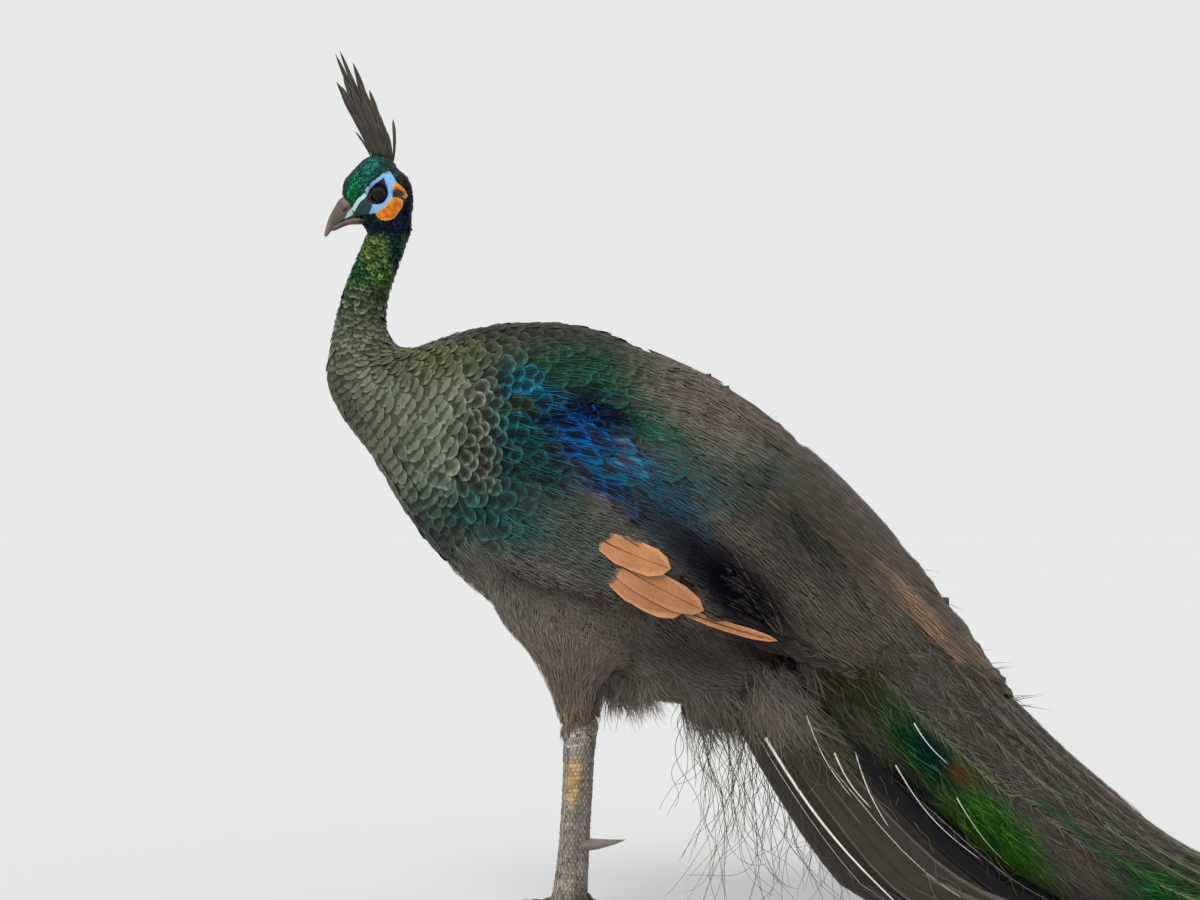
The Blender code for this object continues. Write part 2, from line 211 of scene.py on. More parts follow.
class Finish:   # a material, with its Principled shader and short ways to add nodes
    def __init__(self, name, **fixed):
        self.material = bpy.data.materials.new(name)
        self.material.use_nodes = True
        self.tree = self.material.node_tree
        self.shader = self.tree.nodes["Principled BSDF"]
        for key, value in fixed.items():
            feed(self.tree, self.shader.inputs[key.replace("_", " ")], value)

    def node(self, kind, values, settings=None, output=0):
        made = self.tree.nodes.new(kind)
        for key, value in (settings or {}).items():
            setattr(made, key, value)
        for key, value in values.items():
            feed(self.tree, made.inputs[key], value)
        return Socket(self.tree, made.outputs[output])

    def place(self):
        return self.node("ShaderNodeTexCoord", {}, None, "Object")

    def split(self, vector):
        made = self.tree.nodes.new("ShaderNodeSeparateXYZ")
        feed(self.tree, made.inputs[0], vector)
        return [Socket(self.tree, out) for out in made.outputs]

    def uv(self):   # across and along a feather
        return self.split(self.node("ShaderNodeUVMap", {}, {"uv_map": "feather"}))[:2]

    def attribute(self, name, output="Color"):
        return self.node("ShaderNodeAttribute", {}, {"attribute_name": name}, output)

    def noise(self, scale, detail=3.0):
        values = {"Vector": self.place(), "Scale": scale, "Detail": detail, "Roughness": 0.55}
        return self.node("ShaderNodeTexNoise", values, None, "Fac")

    def mix(self, share, one, two, blend="MIX"):
        return self.node("ShaderNodeMix", {0: share, 6: one, 7: two}, {"data_type": "RGBA", "blend_type": blend}, 2)

    def step(self, value, low, high):
        return self.node("ShaderNodeMapRange", {0: value, 1: low, 2: high, 3: 0.0, 4: 1.0},
                         {"interpolation_type": "SMOOTHSTEP"})

    def to(self, name, value):
        feed(self.tree, self.shader.inputs[name], value)

    def toned(self, shade, light):   # the base colour: a shade times a brightness
        grey = self.node("ShaderNodeCombineColor", {0: light, 1: light, 2: light})
        self.to("Base Color", self.mix(1.0, shade, grey, "MULTIPLY"))

    def bump(self, height, strength, distance=0.0004):
        self.to("Normal", self.node("ShaderNodeBump", {"Height": height, "Strength": strength, "Distance": distance}))


view = {"middle": (247.5, 424.8), "width": 1080.0, "distance": 2700.0, "sensor": 36.0}
studio = {
    "floor": (0.588, 0.589, 0.587), "air": (0.94, 0.945, 0.95), "airStrength": 0.86, "aim": (-0.2, 0, 0.35),
    "lamps": (("key", (-1.4, -2.2, 2.9), 0.7, 1.75), ("top", (0.8, 0.6, 3.0), 1.0, 0.5)),   # place, softness, strength
}


def makeCamera():
    lens = bpy.data.cameras.new("view")
    lens.sensor_width = view["sensor"]
    lens.lens = view["sensor"] * view["distance"] / view["width"]
    camera = added("view", lens)
    across, up = view["middle"]
    camera.location = world([across, -view["distance"], up])
    camera.rotation_euler = (math.pi / 2, 0, 0)
    bpy.context.scene.camera = camera


def makeStudio():
    deselectAll()
    bpy.ops.mesh.primitive_plane_add(size=24)
    floor = bpy.context.object
    floor.name = "floor"
    floor.data.materials.append(Finish("floorPaint", Roughness=0.9, Base_Color=studio["floor"]).material)
    air = bpy.data.worlds.new("air")
    air.use_nodes = True
    shade, brightness = air.node_tree.nodes["Background"].inputs[:2]
    shade.default_value = (*studio["air"], 1)
    brightness.default_value = studio["airStrength"]
    bpy.context.scene.world = air
    bpy.context.scene.view_settings.view_transform = "Standard"
    for name, place, softness, strength in studio["lamps"]:
        light = bpy.data.lights.new(name, "SUN")
        light.angle = softness
        light.energy = strength
        lamp = added(name, light)
        lamp.location = place
        lamp.rotation_euler = (Vector(studio["aim"]) - Vector(place)).to_track_quat("-Z", "Y").to_euler()


makeCamera()
makeStudio()
print("camera and studio")


# back edge (x, z), front or lower edge (x, z), half width
bodyRows = (
    (70, 652, 48, 640, 14), (76, 636, 42, 630, 17), (75, 614, 36, 617, 18), (68, 591, 27, 597, 19),
    (61, 570, 18, 576, 20.5), (57, 551, 12, 558, 22.5), (58, 534, 6, 537, 26), (66, 521, 1, 511, 33),
    (80, 518, 0, 483, 44), (104, 526, 14, 453, 57), (136, 536, 40, 419, 69), (176, 541, 63, 380, 78),
    (225, 539, 91, 340, 84), (274, 524, 131, 303, 86), (326, 488, 186, 262, 84), (370, 438, 246, 222, 76),
    (400, 378, 298, 200, 62), (416, 317, 346, 196, 46), (421, 266, 385, 206, 26),
)
headRows = (
    (13, 651.5, 27, 632, 7.5), (16.6, 664.6, 37, 626, 12.5), (28, 682, 47, 622, 17.5), (40, 691, 58, 620, 21),
    (55, 691, 66, 622, 22), (65, 680, 73, 628, 20), (75, 670, 77, 639, 14), (79, 658, 79, 649, 5),
)
# top edge (x, z), bottom edge (x, z), and how far top edge, fullest part and bottom edge stand out
wingRows = (
    (120, 462, 110, 408, 60, 66, 62), (134, 502, 122, 366, 50, 82, 76), (176, 526, 152, 328, 46, 95, 90),
    (248, 527, 212, 303, 32, 101, 94), (338, 494, 284, 287, 9, 102, 92), (424, 431, 344, 272, 6, 94, 82),
    (490, 364, 412, 249, 5, 80, 68), (556, 291, 484, 222, 4, 60, 50), (596, 238, 552, 204, 4, 38, 32),
    (617, 209, 603, 200, 3, 18, 15),
)
thighRows = (   # front edge, back edge, half width, distance from the middle plane
    (146, 330, 300, 300, 30, 46), (148, 286, 288, 262, 33, 48), (180, 250, 262, 232, 27, 46),
    (199, 219, 246, 213, 18, 41), (207, 195, 241, 195, 13, 38), (210, 186, 240, 187, 11, 37),
    (214, 174, 237, 177, 9.5, 37.5), (215, 160, 234, 162, 8, 38),
)
trainRows = (
    (404, 432, 384, 300, 40), (452, 384, 408, 244, 54), (532, 304, 462, 166, 66), (611, 211, 552, 90, 82),
    (700, 127, 660, 18, 102), (789, 61, 762, 0, 124), (900, 37, 896, 0, 146), (1058, 27, 1058, 0, 166),
    (1220, 22, 1220, 0, 172), (1370, 18, 1370, 0, 158), (1480, 13, 1480, 0, 122), (1540, 8, 1540, 0, 66),
)


class Tract:   # places on it are t, along the rows, and a, around them (or from 0 to 1 down a wing)
    def __init__(self, rows, side=0, wing=False, shift=0.0):
        self.rows, self.side, self.wing, self.shift = np.array(rows, float), side, wing, shift

    def rowAt(self, t):
        rows = self.rows
        t = np.clip(np.asarray(t, float), 0, len(rows) - 1)
        first = np.minimum(t.astype(int), len(rows) - 2)
        share = (t - first)[..., None]
        padded = np.vstack([2 * rows[0] - rows[1], rows, 2 * rows[-1] - rows[-2]])
        before, start, end, after = (padded[first + k] for k in range(4))
        return 0.5 * (2 * start + (end - before) * share
                      + (2 * before - 5 * start + 4 * end - after) * share ** 2
                      + (3 * start - 3 * end + after - before) * share ** 3)

    def points(self, t, a):
        a = np.asarray(a, float)
        row = np.moveaxis(self.rowAt(t), -1, 0)
        if self.wing:
            full = 0.6   # share of the way down at which the wing stands out most
            out = np.where(a < full,
                           row[4] + (row[5] - row[4]) * np.sqrt(np.maximum(1 - (1 - a / full) ** 2, 0)),
                           row[5] - (row[5] - row[6]) * ((a - full) / (1 - full)) ** 2)
            return np.stack([row[0] * (1 - a) + row[2] * a, self.side * out,
                             row[1] * (1 - a) + row[3] * a], -1)
        lean = np.cos(a) / 2
        y = row[4] * np.sin(a) + (self.side * row[5] if len(row) > 5 else 0)
        x = (row[0] + row[2]) / 2 + (row[0] - row[2]) * lean
        z = (row[1] + row[3]) / 2 + (row[1] - row[3]) * lean
        return np.stack([x + self.shift * ramp(300 - z, 0, 110), y, z], -1)

    def outward(self, t, a):
        along = self.points(t + 0.01, a) - self.points(t - 0.01, a)
        around = self.points(t, a + 0.01) - self.points(t, a - 0.01)
        normal = unit(np.cross(along, around))
        away = [0, self.side, 0] if self.wing else self.points(t, a) - self.points(t, a + math.pi)
        return normal * np.where((normal * away).sum(-1, keepdims=True) < 0, -1, 1)


legShift = {"left": 0.0, "right": 10.0}   # how much farther back each leg stands
bodyTract = Tract(bodyRows)
headTract = Tract(headRows)
wingTracts = {side: Tract(wingRows, sign, True) for side, sign in sides.items()}
thighTracts = {side: Tract(thighRows, sign, shift=legShift[side]) for side, sign in sides.items()}
trainTract = Tract(trainRows)

skinShape = {
    "nodes": ["head", "neck_upper", "neck_lower", "breast", "trunk", "rump", "thigh_left", "thigh_right",
              "wing_coverts_left", "wing_coverts_right", "wing_secondaries_left", "wing_secondaries_right"],
    "voxel": 0.0034, "smoothing": 6, "faceFrom": 622, "thinBelow": 560,
    "coatDepth": {"face": 0.0008, "crown": 0.0016, "neck": 0.0026, "body": 0.0050},
}
headNudges = (   # place (x, z) and radius in side view, and how far the outline moves there
    (19, 661, 23, -4.2, 0.8),    # fuller low forehead
    (70, 681, 12, -1.8, -1.5),   # flatter behind the crest
    (78, 628, 26, 2.2, 0.0),     # fuller nape
)
eyePlace = birdPlace(sum(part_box("eye_left"), Vector()) / 2)
fromEye = (eyePlace[0], eyePlace[2])
faceMarks = {   # each a set of convex patches of (x, z)
    "pale": (((18, 632.6), (20.7, 637.8), (24.6, 641.8), (27.2, 638.9), (24.4, 635.8)),
             ((24.3, 641.4), (30.4, 649.6), (32.8, 647), (27, 638.6)),
             ((30.2, 649.4), (36.9, 654.9), (39.2, 652), (32.6, 646.8))),
    "wedge": (((24.4, 635.8), (31.5, 646), (37, 650.4), (41, 649), (46, 644.6), (41.4, 636.4), (33, 635.6)),),
    "blue": (((38.4, 652.4), (37.4, 657.6), (41.6, 662.6), (42.4, 656.1)),
             ((41.2, 655.6), (41.2, 662.2), (48.8, 668), (49.4, 662.2)),
             ((48.2, 661.6), (48.4, 667.8), (54, 672.9), (57, 667)),
             ((53.6, 664), (53.8, 672.6), (56.7, 675.4), (59.9, 673.4), (63.7, 667.8), (58.6, 661)),
             ((54.5, 660), (58, 668), (63.5, 668), (65.4, 664), (62.4, 656.6), (56.6, 656.6)),
             ((56.4, 658), (62.5, 658), (62.2, 649), (56, 649)),
             ((55.8, 652), (62.2, 650.6), (60.6, 644), (53, 640), (49.6, 646.8)),
             ((52.6, 648), (55.4, 641.6), (46.8, 637), (40.8, 636.2), (44.6, 645.6))),
    "orange": (((62.2, 660.4), (65.7, 663.8), (72, 659.9), (75.8, 653.4), (74.4, 649.2), (70, 651.6), (63, 655)),
               ((46.6, 637), (54, 641.2), (63.4, 640.4), (63.4, 631.6), (53.1, 629.4), (48.8, 631.6)),
               ((53.6, 640.6), (62, 649.9), (66, 650.7), (71.3, 648.2), (70.9, 641.6), (63, 631.6), (55, 633))),
    "gape": (((23.6, 634.6), (26, 635.8), (34.4, 634.8), (33.8, 631.6), (25, 630.6)),),
}
# ovals, in millimetres tailwards and up from the eye: middle, half length, half width, turn in degrees
earMark = (17.4, 0.0, 5.2, 3.5, -8)
billNostril = (-31.5, -14.0, 2.6, 1.0, 38)
billCere = (-30.5, -11.6, 4.6, 1.6, 40)
faceRelief = (   # ovals too, then softness and how far out in millimetres
    (-2.0, 1.0, 11.0, 8.0, 40, 0.5, -1.2), (-3.6, 11.2, 13.2, 3.6, 45, 0.6, 0.9), (11.0, 2.0, 3.8, 13.0, 6, 0.6, 0.8),
    (9.6, -14.0, 12.6, 7.0, 36, 0.5, 1.3), (19.0, 3.4, 8.0, 5.0, -44, 0.5, 0.8), (*earMark, 0.5, -1.8),
)
# outlines in side view: the lens-shaped patch round the eye, the lids and, from the eye, the edge of the bare face
lensPatch = (((38.4, 651.2), (41, 656.9), (46, 662.2), (54.2, 668.2), (56.8, 661), (58, 654.8), (56.5, 649.4),
              (53.3, 646.3), (48.6, 644.3), (43.8, 645.2), (40.2, 648)),)
lidsLine = ((38.9, 651.4), (41.2, 656.3), (44.6, 659.8), (48.6, 662.9), (51.4, 665.6), (53.8, 667.2), (55, 664.4),
            (56.6, 660.2), (57.6, 654.8), (56.2, 649.8), (53.1, 646.8), (48.6, 644.9), (44, 645.8), (40.6, 648.4))
crownLine = ((-37, -22), (-34, -17.6), (-24, -6.2), (-13.8, 5.0), (-9.5, 8.8), (-3.4, 14.6), (4.8, 21.6), (8.0, 22.4),
             (13.4, 18.6), (16.8, 10.4), (23, 4.5), (26.6, -1.2), (22.8, -10), (16.5, -20), (8.5, -24.6),
             (-1.5, -23.0), (-9.5, -18.8), (-24, -20.5))


def softMark(points, x, z, halfLength, halfWidth, turn, soft, origin=(0, 0)):   # 1 inside an oval in side view
    dx, dz = points[:, 0] - origin[0] - x, points[:, 2] - origin[1] - z
    c, s = math.cos(math.radians(turn)), math.sin(math.radians(turn))
    reach = np.hypot((dx * c + dz * s) / halfLength, (dz * c - dx * s) / halfWidth)
    return 1 - ramp(reach, 1 - soft, 1 + soft)


def insideLine(x, z, line):   # whether places in side view lie inside a closed outline
    inside = np.zeros(len(x), bool)
    for (x0, z0), (x1, z1) in zip(line, line[1:] + line[:1]):
        crosses = (z0 > z) != (z1 > z)
        at = (x1 - x0) * (z - z0) / ((z1 - z0) or 1e-9) + x0
        inside ^= crosses & (x < at)
    return inside


def bareFace(points):   # the bare skin of both sides of the head
    x, z = points[:, 0] - eyePlace[0], points[:, 2] - eyePlace[2]
    return insideLine(x, z, crownLine) & (np.abs(points[:, 1]) > 7)


def nudged(points):
    points = points.copy()
    for x, z, radius, across, up in headNudges:
        share = 1 - ramp(np.hypot(points[:, 0] - x, points[:, 2] - z), 0.15 * radius, radius)
        points += share[:, None] * (across, 0, up)
    return points


def stained(piece, marks, base):   # the coat's colours, darker, on the skin under it
    tone, _, gloss = painted(birdPlace(coordinates(piece)), marks, base)
    storeTints(piece, tone * 0.8, tone * 0.8, gloss)


def heldBack(piece, points, normals, inwards, some, reach):   # thin parts give way less, so their sides never cross
    tree = BVHTree.FromObject(piece, bpy.context.evaluated_depsgraph_get())
    clear, most = 0.0003, 0.3   # off the surface itself, and the share of the thickness that may go
    for k in some:
        inner = Vector(-normals[k])
        through = tree.ray_cast(Vector(points[k]) + inner * clear, inner, reach)[3]
        if through is not None:
            inwards[k] = min(inwards[k], most * through)


def makeSkin():
    skin = formed("skin", skinShape["nodes"], skinShape["voxel"], skinShape["smoothing"], swell)
    placed = birdPlace(coordinates(skin))   # the front edge of the folded wing sinks into the breast and flank
    melting = ramp(np.abs(placed[:, 1]), 36, 52) * ramp(placed[:, 0], 84, 100) * ramp(-placed[:, 0], -300, -240)
    melting *= ramp(placed[:, 2], 250, 290)
    shoulder = skin.vertex_groups.new(name="shoulder")
    for step in range(1, 11):
        shoulder.add(np.flatnonzero(np.round(melting * 10) == step).tolist(), step / 10, "REPLACE")
    applyModifier(skin, "SMOOTH", factor=0.6, iterations=80, vertex_group="shoulder")
    deselectAll()
    form = bmesh.new()   # a finer head
    form.from_mesh(skin.data)
    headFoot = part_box("head")[0].z
    near = [f for f in form.faces if f.calc_center_median().z > headFoot - 0.004]
    edges = list({e for f in near for e in f.edges})
    bmesh.ops.subdivide_edges(form, edges=edges, cuts=3, use_grid_fill=True, smooth=0.6)
    form.to_mesh(skin.data)
    form.free()
    normals = coordinates(skin, "normal")
    placed = nudged(birdPlace(coordinates(skin)))
    points = world(placed)
    depth = skinShape["coatDepth"]
    face = bareFace(placed)
    inwards = between(depth["neck"], depth["body"], ramp(-placed[:, 2], -625, -470))
    onHead = np.where(face, depth["face"], depth["crown"])
    inwards = np.where(placed[:, 2] > skinShape["faceFrom"], onHead, inwards) + swell
    heldBack(skin, points, normals, inwards, np.flatnonzero(placed[:, 2] < skinShape["thinBelow"]), 0.03)
    relief = sum(softMark(placed, *row[:6], fromEye) * row[6] * mm for row in faceRelief)
    points += normals * (face * relief - inwards)[:, None]
    setCoordinates(skin, points)
    shadeSmooth(skin, 180)
    return skin


class Ground:   # where a feather's root and vane lie: the nearest place on a skin
    def __init__(self, *pieces):
        points, faces = [], []
        for piece in pieces:
            faces += [[k + len(points) for k in face.vertices] for face in piece.data.polygons]
            points += coordinates(piece).tolist()
        self.tree = BVHTree.FromPolygons(points, faces)

    def below(self, tract, t, a):   # the surface and its normal under places on a tract, seen from outside
        places, outward = tract.points(t, a), tract.outward(t, a)
        clear = 30.0 if tract.wing else 12.0
        nearest = [self.tree.find_nearest(Vector(p)) for p in world(places).reshape(-1, 3)]
        root = birdPlace(np.array([found[0] for found in nearest]))
        normal = np.array([found[1] for found in nearest])
        start, heading = world(places + outward * clear).reshape(-1, 3), -outward.reshape(-1, 3)
        for k, (p, d) in enumerate(zip(start, heading)):
            hit = self.tree.ray_cast(Vector(p), Vector(d), clear * 2.2 * mm)
            if hit[0] is not None and hit[1].dot(Vector(d)) < 0:
                root[k], normal[k] = birdPlace(hit[0]), hit[1]
        return root.reshape(places.shape), normal.reshape(places.shape)

    def heights(self, points, outward, reach):   # how far out the surface stands from each point; -99 for none
        start = world(points + outward * reach).reshape(-1, 3)
        heading = np.broadcast_to(-outward, points.shape).reshape(-1, 3)
        found = [self.tree.ray_cast(Vector(p), Vector(d), 0.3)[3] for p, d in zip(start, heading)]
        return np.array([-99.0 if f is None else reach - f / mm for f in found]).reshape(points.shape[:-1])


def outline(x, z, side, *grounds):   # how far out to one side the surfaces stand at places in side view
    outward = np.zeros((*x.shape, 3))
    outward[..., 1] = side
    places = np.stack([x, np.zeros_like(x), z], -1)
    return np.max([on.heights(places, outward, 200.0) for on in grounds], 0)


skin = makeSkin()
ground = Ground(skin)
print("skin", len(skin.data.polygons), "faces")


# markings, shared by skin and coat: middle (x, z), half length, half width, turn, softness,
# middle of each feather, its rim, gloss
plumageMarks = (
    (45, 600, 60, 40, 0, 0.3, (56, 88, 44), (96, 136, 60), 0.7),          # upper neck, green
    (44, 604, 18, 18, 0, 0.6, (78, 100, 50), (118, 138, 72), 0.5),         # yellower down its side
    (68, 597, 10, 40, 12, 0.6, (14, 44, 38), (24, 78, 70), 0.7),          # its nape edge, blue-green
    (27, 590, 8, 32, 16, 0.7, (18, 56, 36), (28, 104, 60), 0.7),          # its throat edge
    (60, 624, 44, 8, 0, 0.5, (6, 14, 32), (10, 38, 62), 0.5),             # band under the face, deep blue
    (33, 552, 46, 18, 0, 0.5, (70, 79, 58), (90, 106, 76), 0.4),           # lower neck
    (30, 512, 70, 30, 0, 0.5, (88, 92, 70), (108, 118, 90), 0.3),
    (75, 470, 90, 60, -20, 0.35, (110, 113, 94), (117, 124, 102), 0.25),     # breast, grey-green
    (20, 462, 18, 40, 20, 0.6, (76, 76, 64), (94, 100, 82), 0.2),
    (82, 420, 30, 26, -30, 0.7, (104, 101, 88), (114, 118, 99), 0.2),       # browner patch on the breast
    (100, 508, 60, 24, 8, 0.5, (76, 79, 56), (104, 109, 79), 0.3),          # side of the neck base, olive
    (190, 534, 110, 17, -3, 0.5, (40, 42, 31), (62, 64, 46), 0.25),       # mantle
    (112, 400, 44, 52, -35, 0.5, (106, 116, 98), (132, 142, 118), 0.3),
    (146, 432, 24, 66, -8, 0.5, (60, 63, 55), (112, 122, 100), 0.3),       # crescents beside the wing
    (82, 342, 42, 30, -40, 0.7, (34, 42, 40), (54, 72, 65), 0.3),
    (232, 492, 76, 26, -6, 0.5, (26, 50, 40), (36, 82, 64), 0.5),         # teal green along the wing's top
    (184, 446, 26, 44, 4, 0.5, (8, 40, 48), (18, 94, 90), 0.8),           # turquoise at the shoulder
    (192, 394, 34, 42, -20, 0.6, (16, 38, 40), (22, 80, 76), 0.6),
    (290, 462, 56, 30, -30, 0.5, (18, 56, 45), (34, 102, 76), 0.7),       # green at the back of the patch
    (236, 452, 44, 25, -14, 0.5, (2, 7, 22), (4, 28, 58), 0.9),           # its dark blue heart
    (190, 478, 26, 14, -24, 0.5, (5, 44, 58), (14, 108, 132), 0.8),
    (254, 412, 58, 25, -42, 0.5, (6, 14, 34), (6, 84, 146), 0.9),       # bright cobalt
    (292, 390, 52, 26, -42, 0.6, (46, 44, 46), (20, 94, 122), 0.6),
    (330, 402, 36, 20, -36, 0.6, (52, 52, 48), (30, 84, 92), 0.4),
    (376, 406, 44, 24, -24, 0.9, (74, 74, 67), (72, 90, 86), 0.2),
    (180, 463, 12, 5, 4, 0.6, (30, 42, 24), (58, 80, 46), 0.4),           # yellow-green spot
    (222, 346, 50, 30, -34, 0.7, (64, 70, 64), (68, 80, 73), 0.15),       # dark under the patch
    (318, 344, 54, 19, -43, 0.8, (32, 33, 38), (36, 38, 44), 0.1),        # shadowy band behind it
    (368, 301, 60, 27, -45, 0.55, (1, 0, 8), (4, 3, 15), 0.1),          # painted shade, blue-black, in the hollow at the wing's lower rear edge
    (418, 362, 56, 26, -42, 1.0, (34, 37, 36), (40, 45, 43), 0.15),
    (330, 468, 60, 30, -34, 0.7, (92, 85, 77), (100, 93, 84), 0.0),        # smooth brown behind the green
    (534, 276, 56, 8, -52, 0.4, (112, 93, 76), (122, 102, 84), 0.0),      # paler brown patch
    (180, 292, 60, 46, 0, 0.7, (82, 78, 72), (88, 84, 78), 0.0),          # flank
    (146, 365, 46, 22, -14, 0.8, (28, 60, 58), (38, 96, 90), 0.5),        # teal below the crescents
    (200, 215, 90, 70, 0, 0.6, (86, 79, 71), (94, 87, 79), 0.0),          # thighs
    (222, 192, 16, 8, 20, 0.9, (100, 84, 66), (112, 95, 76), 0.0),        # golden brown above the heel
    (404, 240, 54, 15, -24, 0.6, (40, 37, 36), (46, 42, 40), 0.0),        # shadow under the wing
    # the same painted shadow under the wing, farther forward
    (322, 246, 44, 16, -18, 0.8, (54, 51, 48), (60, 57, 53), 0.0),
    (330, 170, 60, 44, 0, 0.6, (90, 84, 79), (98, 92, 87), 0.0),          # vent
)
plumageBase = ((76, 70, 63), (83, 77, 70), 0.05)


def painted(points, marks=plumageMarks, base=plumageBase):   # middle colour, rim colour and gloss at each point
    centre = np.tile(colour(*base[0]), (len(points), 1))
    rim = np.tile(colour(*base[1]), (len(points), 1))
    gloss = np.full(len(points), float(base[2]))
    for x, z, halfLength, halfWidth, turn, soft, inner, outer, shine in marks:
        share = softMark(points, x, z, halfLength, halfWidth, turn, soft)
        centre = between(centre, colour(*inner), share[:, None])
        rim = between(rim, colour(*outer), share[:, None])
        gloss = between(gloss, shine, share)
    return centre, rim, gloss


patch = 0.003   # how wide each small feather's own patch is on the map for baking
backLine = ((276, 284, 316, 348, 367, 387, 408, 420), (900, 518.5, 505, 489.5, 477, 464.5, 448, 900))
backFrom, lowest, farthest, give = 436, 1.5, 166, 8   # the back's lowest place, then how far coats may reach


def keptIn(points):   # nothing reaches through the floor, far past the sides of the train, or high off the back
    x, y, z = points.T
    high = np.where(z > backFrom, z - np.interp(x, *backLine), 0)
    z = z - 0.85 * np.maximum(high, 0)
    z = np.maximum(z, lowest) - 1.2 * (1 - np.exp(np.minimum(z - lowest, 0) / 5))
    side = np.abs(y)
    closer = farthest + give * (1 - np.exp(-np.maximum(side - farthest, 0) / give))
    return np.stack([x, np.sign(y) * np.where(side > farthest, closer, side), z], -1)


def meshOf(name, points, faces, featherUv, bakeUv):   # faces is a list of index arrays, each of one corner count
    mesh = bpy.data.meshes.new(name)
    corners = np.concatenate([f.ravel() for f in faces]).astype(np.int32)
    sizes = np.concatenate([np.full(len(f), f.shape[1]) for f in faces])
    mesh.vertices.add(len(points))
    mesh.vertices.foreach_set("co", world(keptIn(points)).ravel())
    mesh.loops.add(len(corners))
    mesh.loops.foreach_set("vertex_index", corners)
    mesh.polygons.add(len(sizes))
    mesh.polygons.foreach_set("loop_start", np.concatenate([[0], np.cumsum(sizes)[:-1]]).astype(np.int32))
    for label, places in (("feather", featherUv), ("OFBake", bakeUv)):
        mesh.uv_layers.new(name=label).uv.foreach_set("vector", places[corners].ravel())
    mesh.update(calc_edges=True)
    mesh.validate()
    return added(name, mesh)


def tubeMesh(name, path, ring, home, tints, angle):
    # closed tubes round (count, rows, 3) paths, with a ring of corners at each row but the last, and but the first if
    # they begin in a point too; home is where each one's own patch is centred on the map for baking
    count, rings, corners = ring.shape[:3]
    lead = path.shape[1] - 1 - rings   # 1 where they begin in a point
    points = np.concatenate([path[:, :lead], ring.reshape(count, -1, 3), path[:, -1:]], 1)
    each = points.shape[1]
    along = np.linspace(0, 1, path.shape[1])
    u = np.concatenate([[0.5] * lead, np.tile((0.0, 0.5, 1.0, 0.5)[:corners], rings), [0.5]])
    v = np.concatenate([[0.0] * lead, np.repeat(along[lead:-1], corners), [1.0]])
    featherUv = np.tile(np.stack([u, v], -1), (count, 1, 1))
    quads, ends = [], [] if lead else [(2, 1, 0)]
    last = each - 1 - corners
    for k in range(corners):
        after = (k + 1) % corners
        if lead:
            ends.append((0, 1 + after, 1 + k))
        ends.append((last + k, last + after, each - 1))
        for low in range(lead, last, corners):
            quads.append((low + k, low + after, low + corners + after, low + corners + k))
    step = (np.arange(count) * each)[:, None, None]
    faces = [(np.array(kind)[None] + step).reshape(-1, len(kind[0])) for kind in (ends, quads)]
    inset = patch / 2 + 0.001
    centre = inset + np.clip(home, 0, 1) * (1 - 2 * inset)
    bakeUv = centre[:, None, :] + (featherUv - 0.5) * patch
    piece = meshOf(name, points.reshape(-1, 3), faces, featherUv.reshape(-1, 2), bakeUv.reshape(-1, 2))
    storeTints(piece, *tints, each)
    shadeSmooth(piece, angle)
    return piece


def vaneMesh(name, path, across, normal, half, home, tints, camber=0.18, thick=0.12):
    # thin arched vanes; path, across and normal are (count, rows, 3) and half the half widths (count, rows)
    middle, up = path[:, 1:-1], normal[:, 1:-1]
    wide = across[:, 1:-1] * half[:, 1:-1, None]
    top = up * (camber * half[:, 1:-1, None])
    ring = np.stack([middle - wide, middle + top, middle + wide, middle + top - up * thick], 2)
    return tubeMesh(name, path, ring, home, tints, 50)


def strandPiece(name, path, side, normal, half, home, shades, gloss, material, slotName):
    # thin three-sided barbs, drawn to a point
    wide = side[:, :-1] * half[:, :-1, None]
    high = normal[:, :-1] * (half[:, :-1, None] * 0.7)
    ring = np.stack([path[:, :-1] - wide, path[:, :-1] + high, path[:, :-1] + wide], 2)
    return finished(tubeMesh(name, path, ring, home, (shades, shades, gloss), 180), material, slotName)


def latticeOn(tract, form, around=allRound, aspect=1.0, wander=0.12):
    # roots in staggered rows: t and a, the steps to the next row and to the next root in the row, and where they lie
    (t, end), row, found = form["span"], 0, []
    spacing = form["spacing"]
    middle = sum(around) / 2 if tract.wing else math.pi / 2
    grid = np.linspace(*around, 241)
    while t < end:
        gap = spacing(t) if callable(spacing) else spacing
        pace = np.linalg.norm(tract.points(t + 0.01, middle) - tract.points(t - 0.01, middle)) / 0.02
        step = gap / max(pace, 8.0)
        ring = tract.points(np.full(241, t), grid)
        gone = np.concatenate([[0], np.cumsum(np.linalg.norm(np.diff(ring, axis=0), axis=1))])
        number = max(3, int(gone[-1] / gap / aspect))
        at = (np.arange(number) + 0.5 * (row % 2) + 0.25) * gone[-1] / number
        half = gone[-1] / number / 2
        turn = np.interp(at + half, gone, grid) - np.interp(at - half, gone, grid)
        found.append(np.stack([np.full(number, t), np.interp(at, gone, grid), np.full(number, step), turn], -1))
        t, row = t + step, row + 1
    places = np.concatenate(found)
    for k in (0, 1):
        places[:, k] += chance.uniform(-wander, wander, len(places)) * places[:, k + 2]
    return places, tract.points(places[:, 0], places[:, 1])


def framed(path, up):   # the directions across and out of feathers along these paths
    forward = unit(np.gradient(path, axis=1))
    across = unit(np.cross(forward, up))
    return across, np.cross(across, forward)


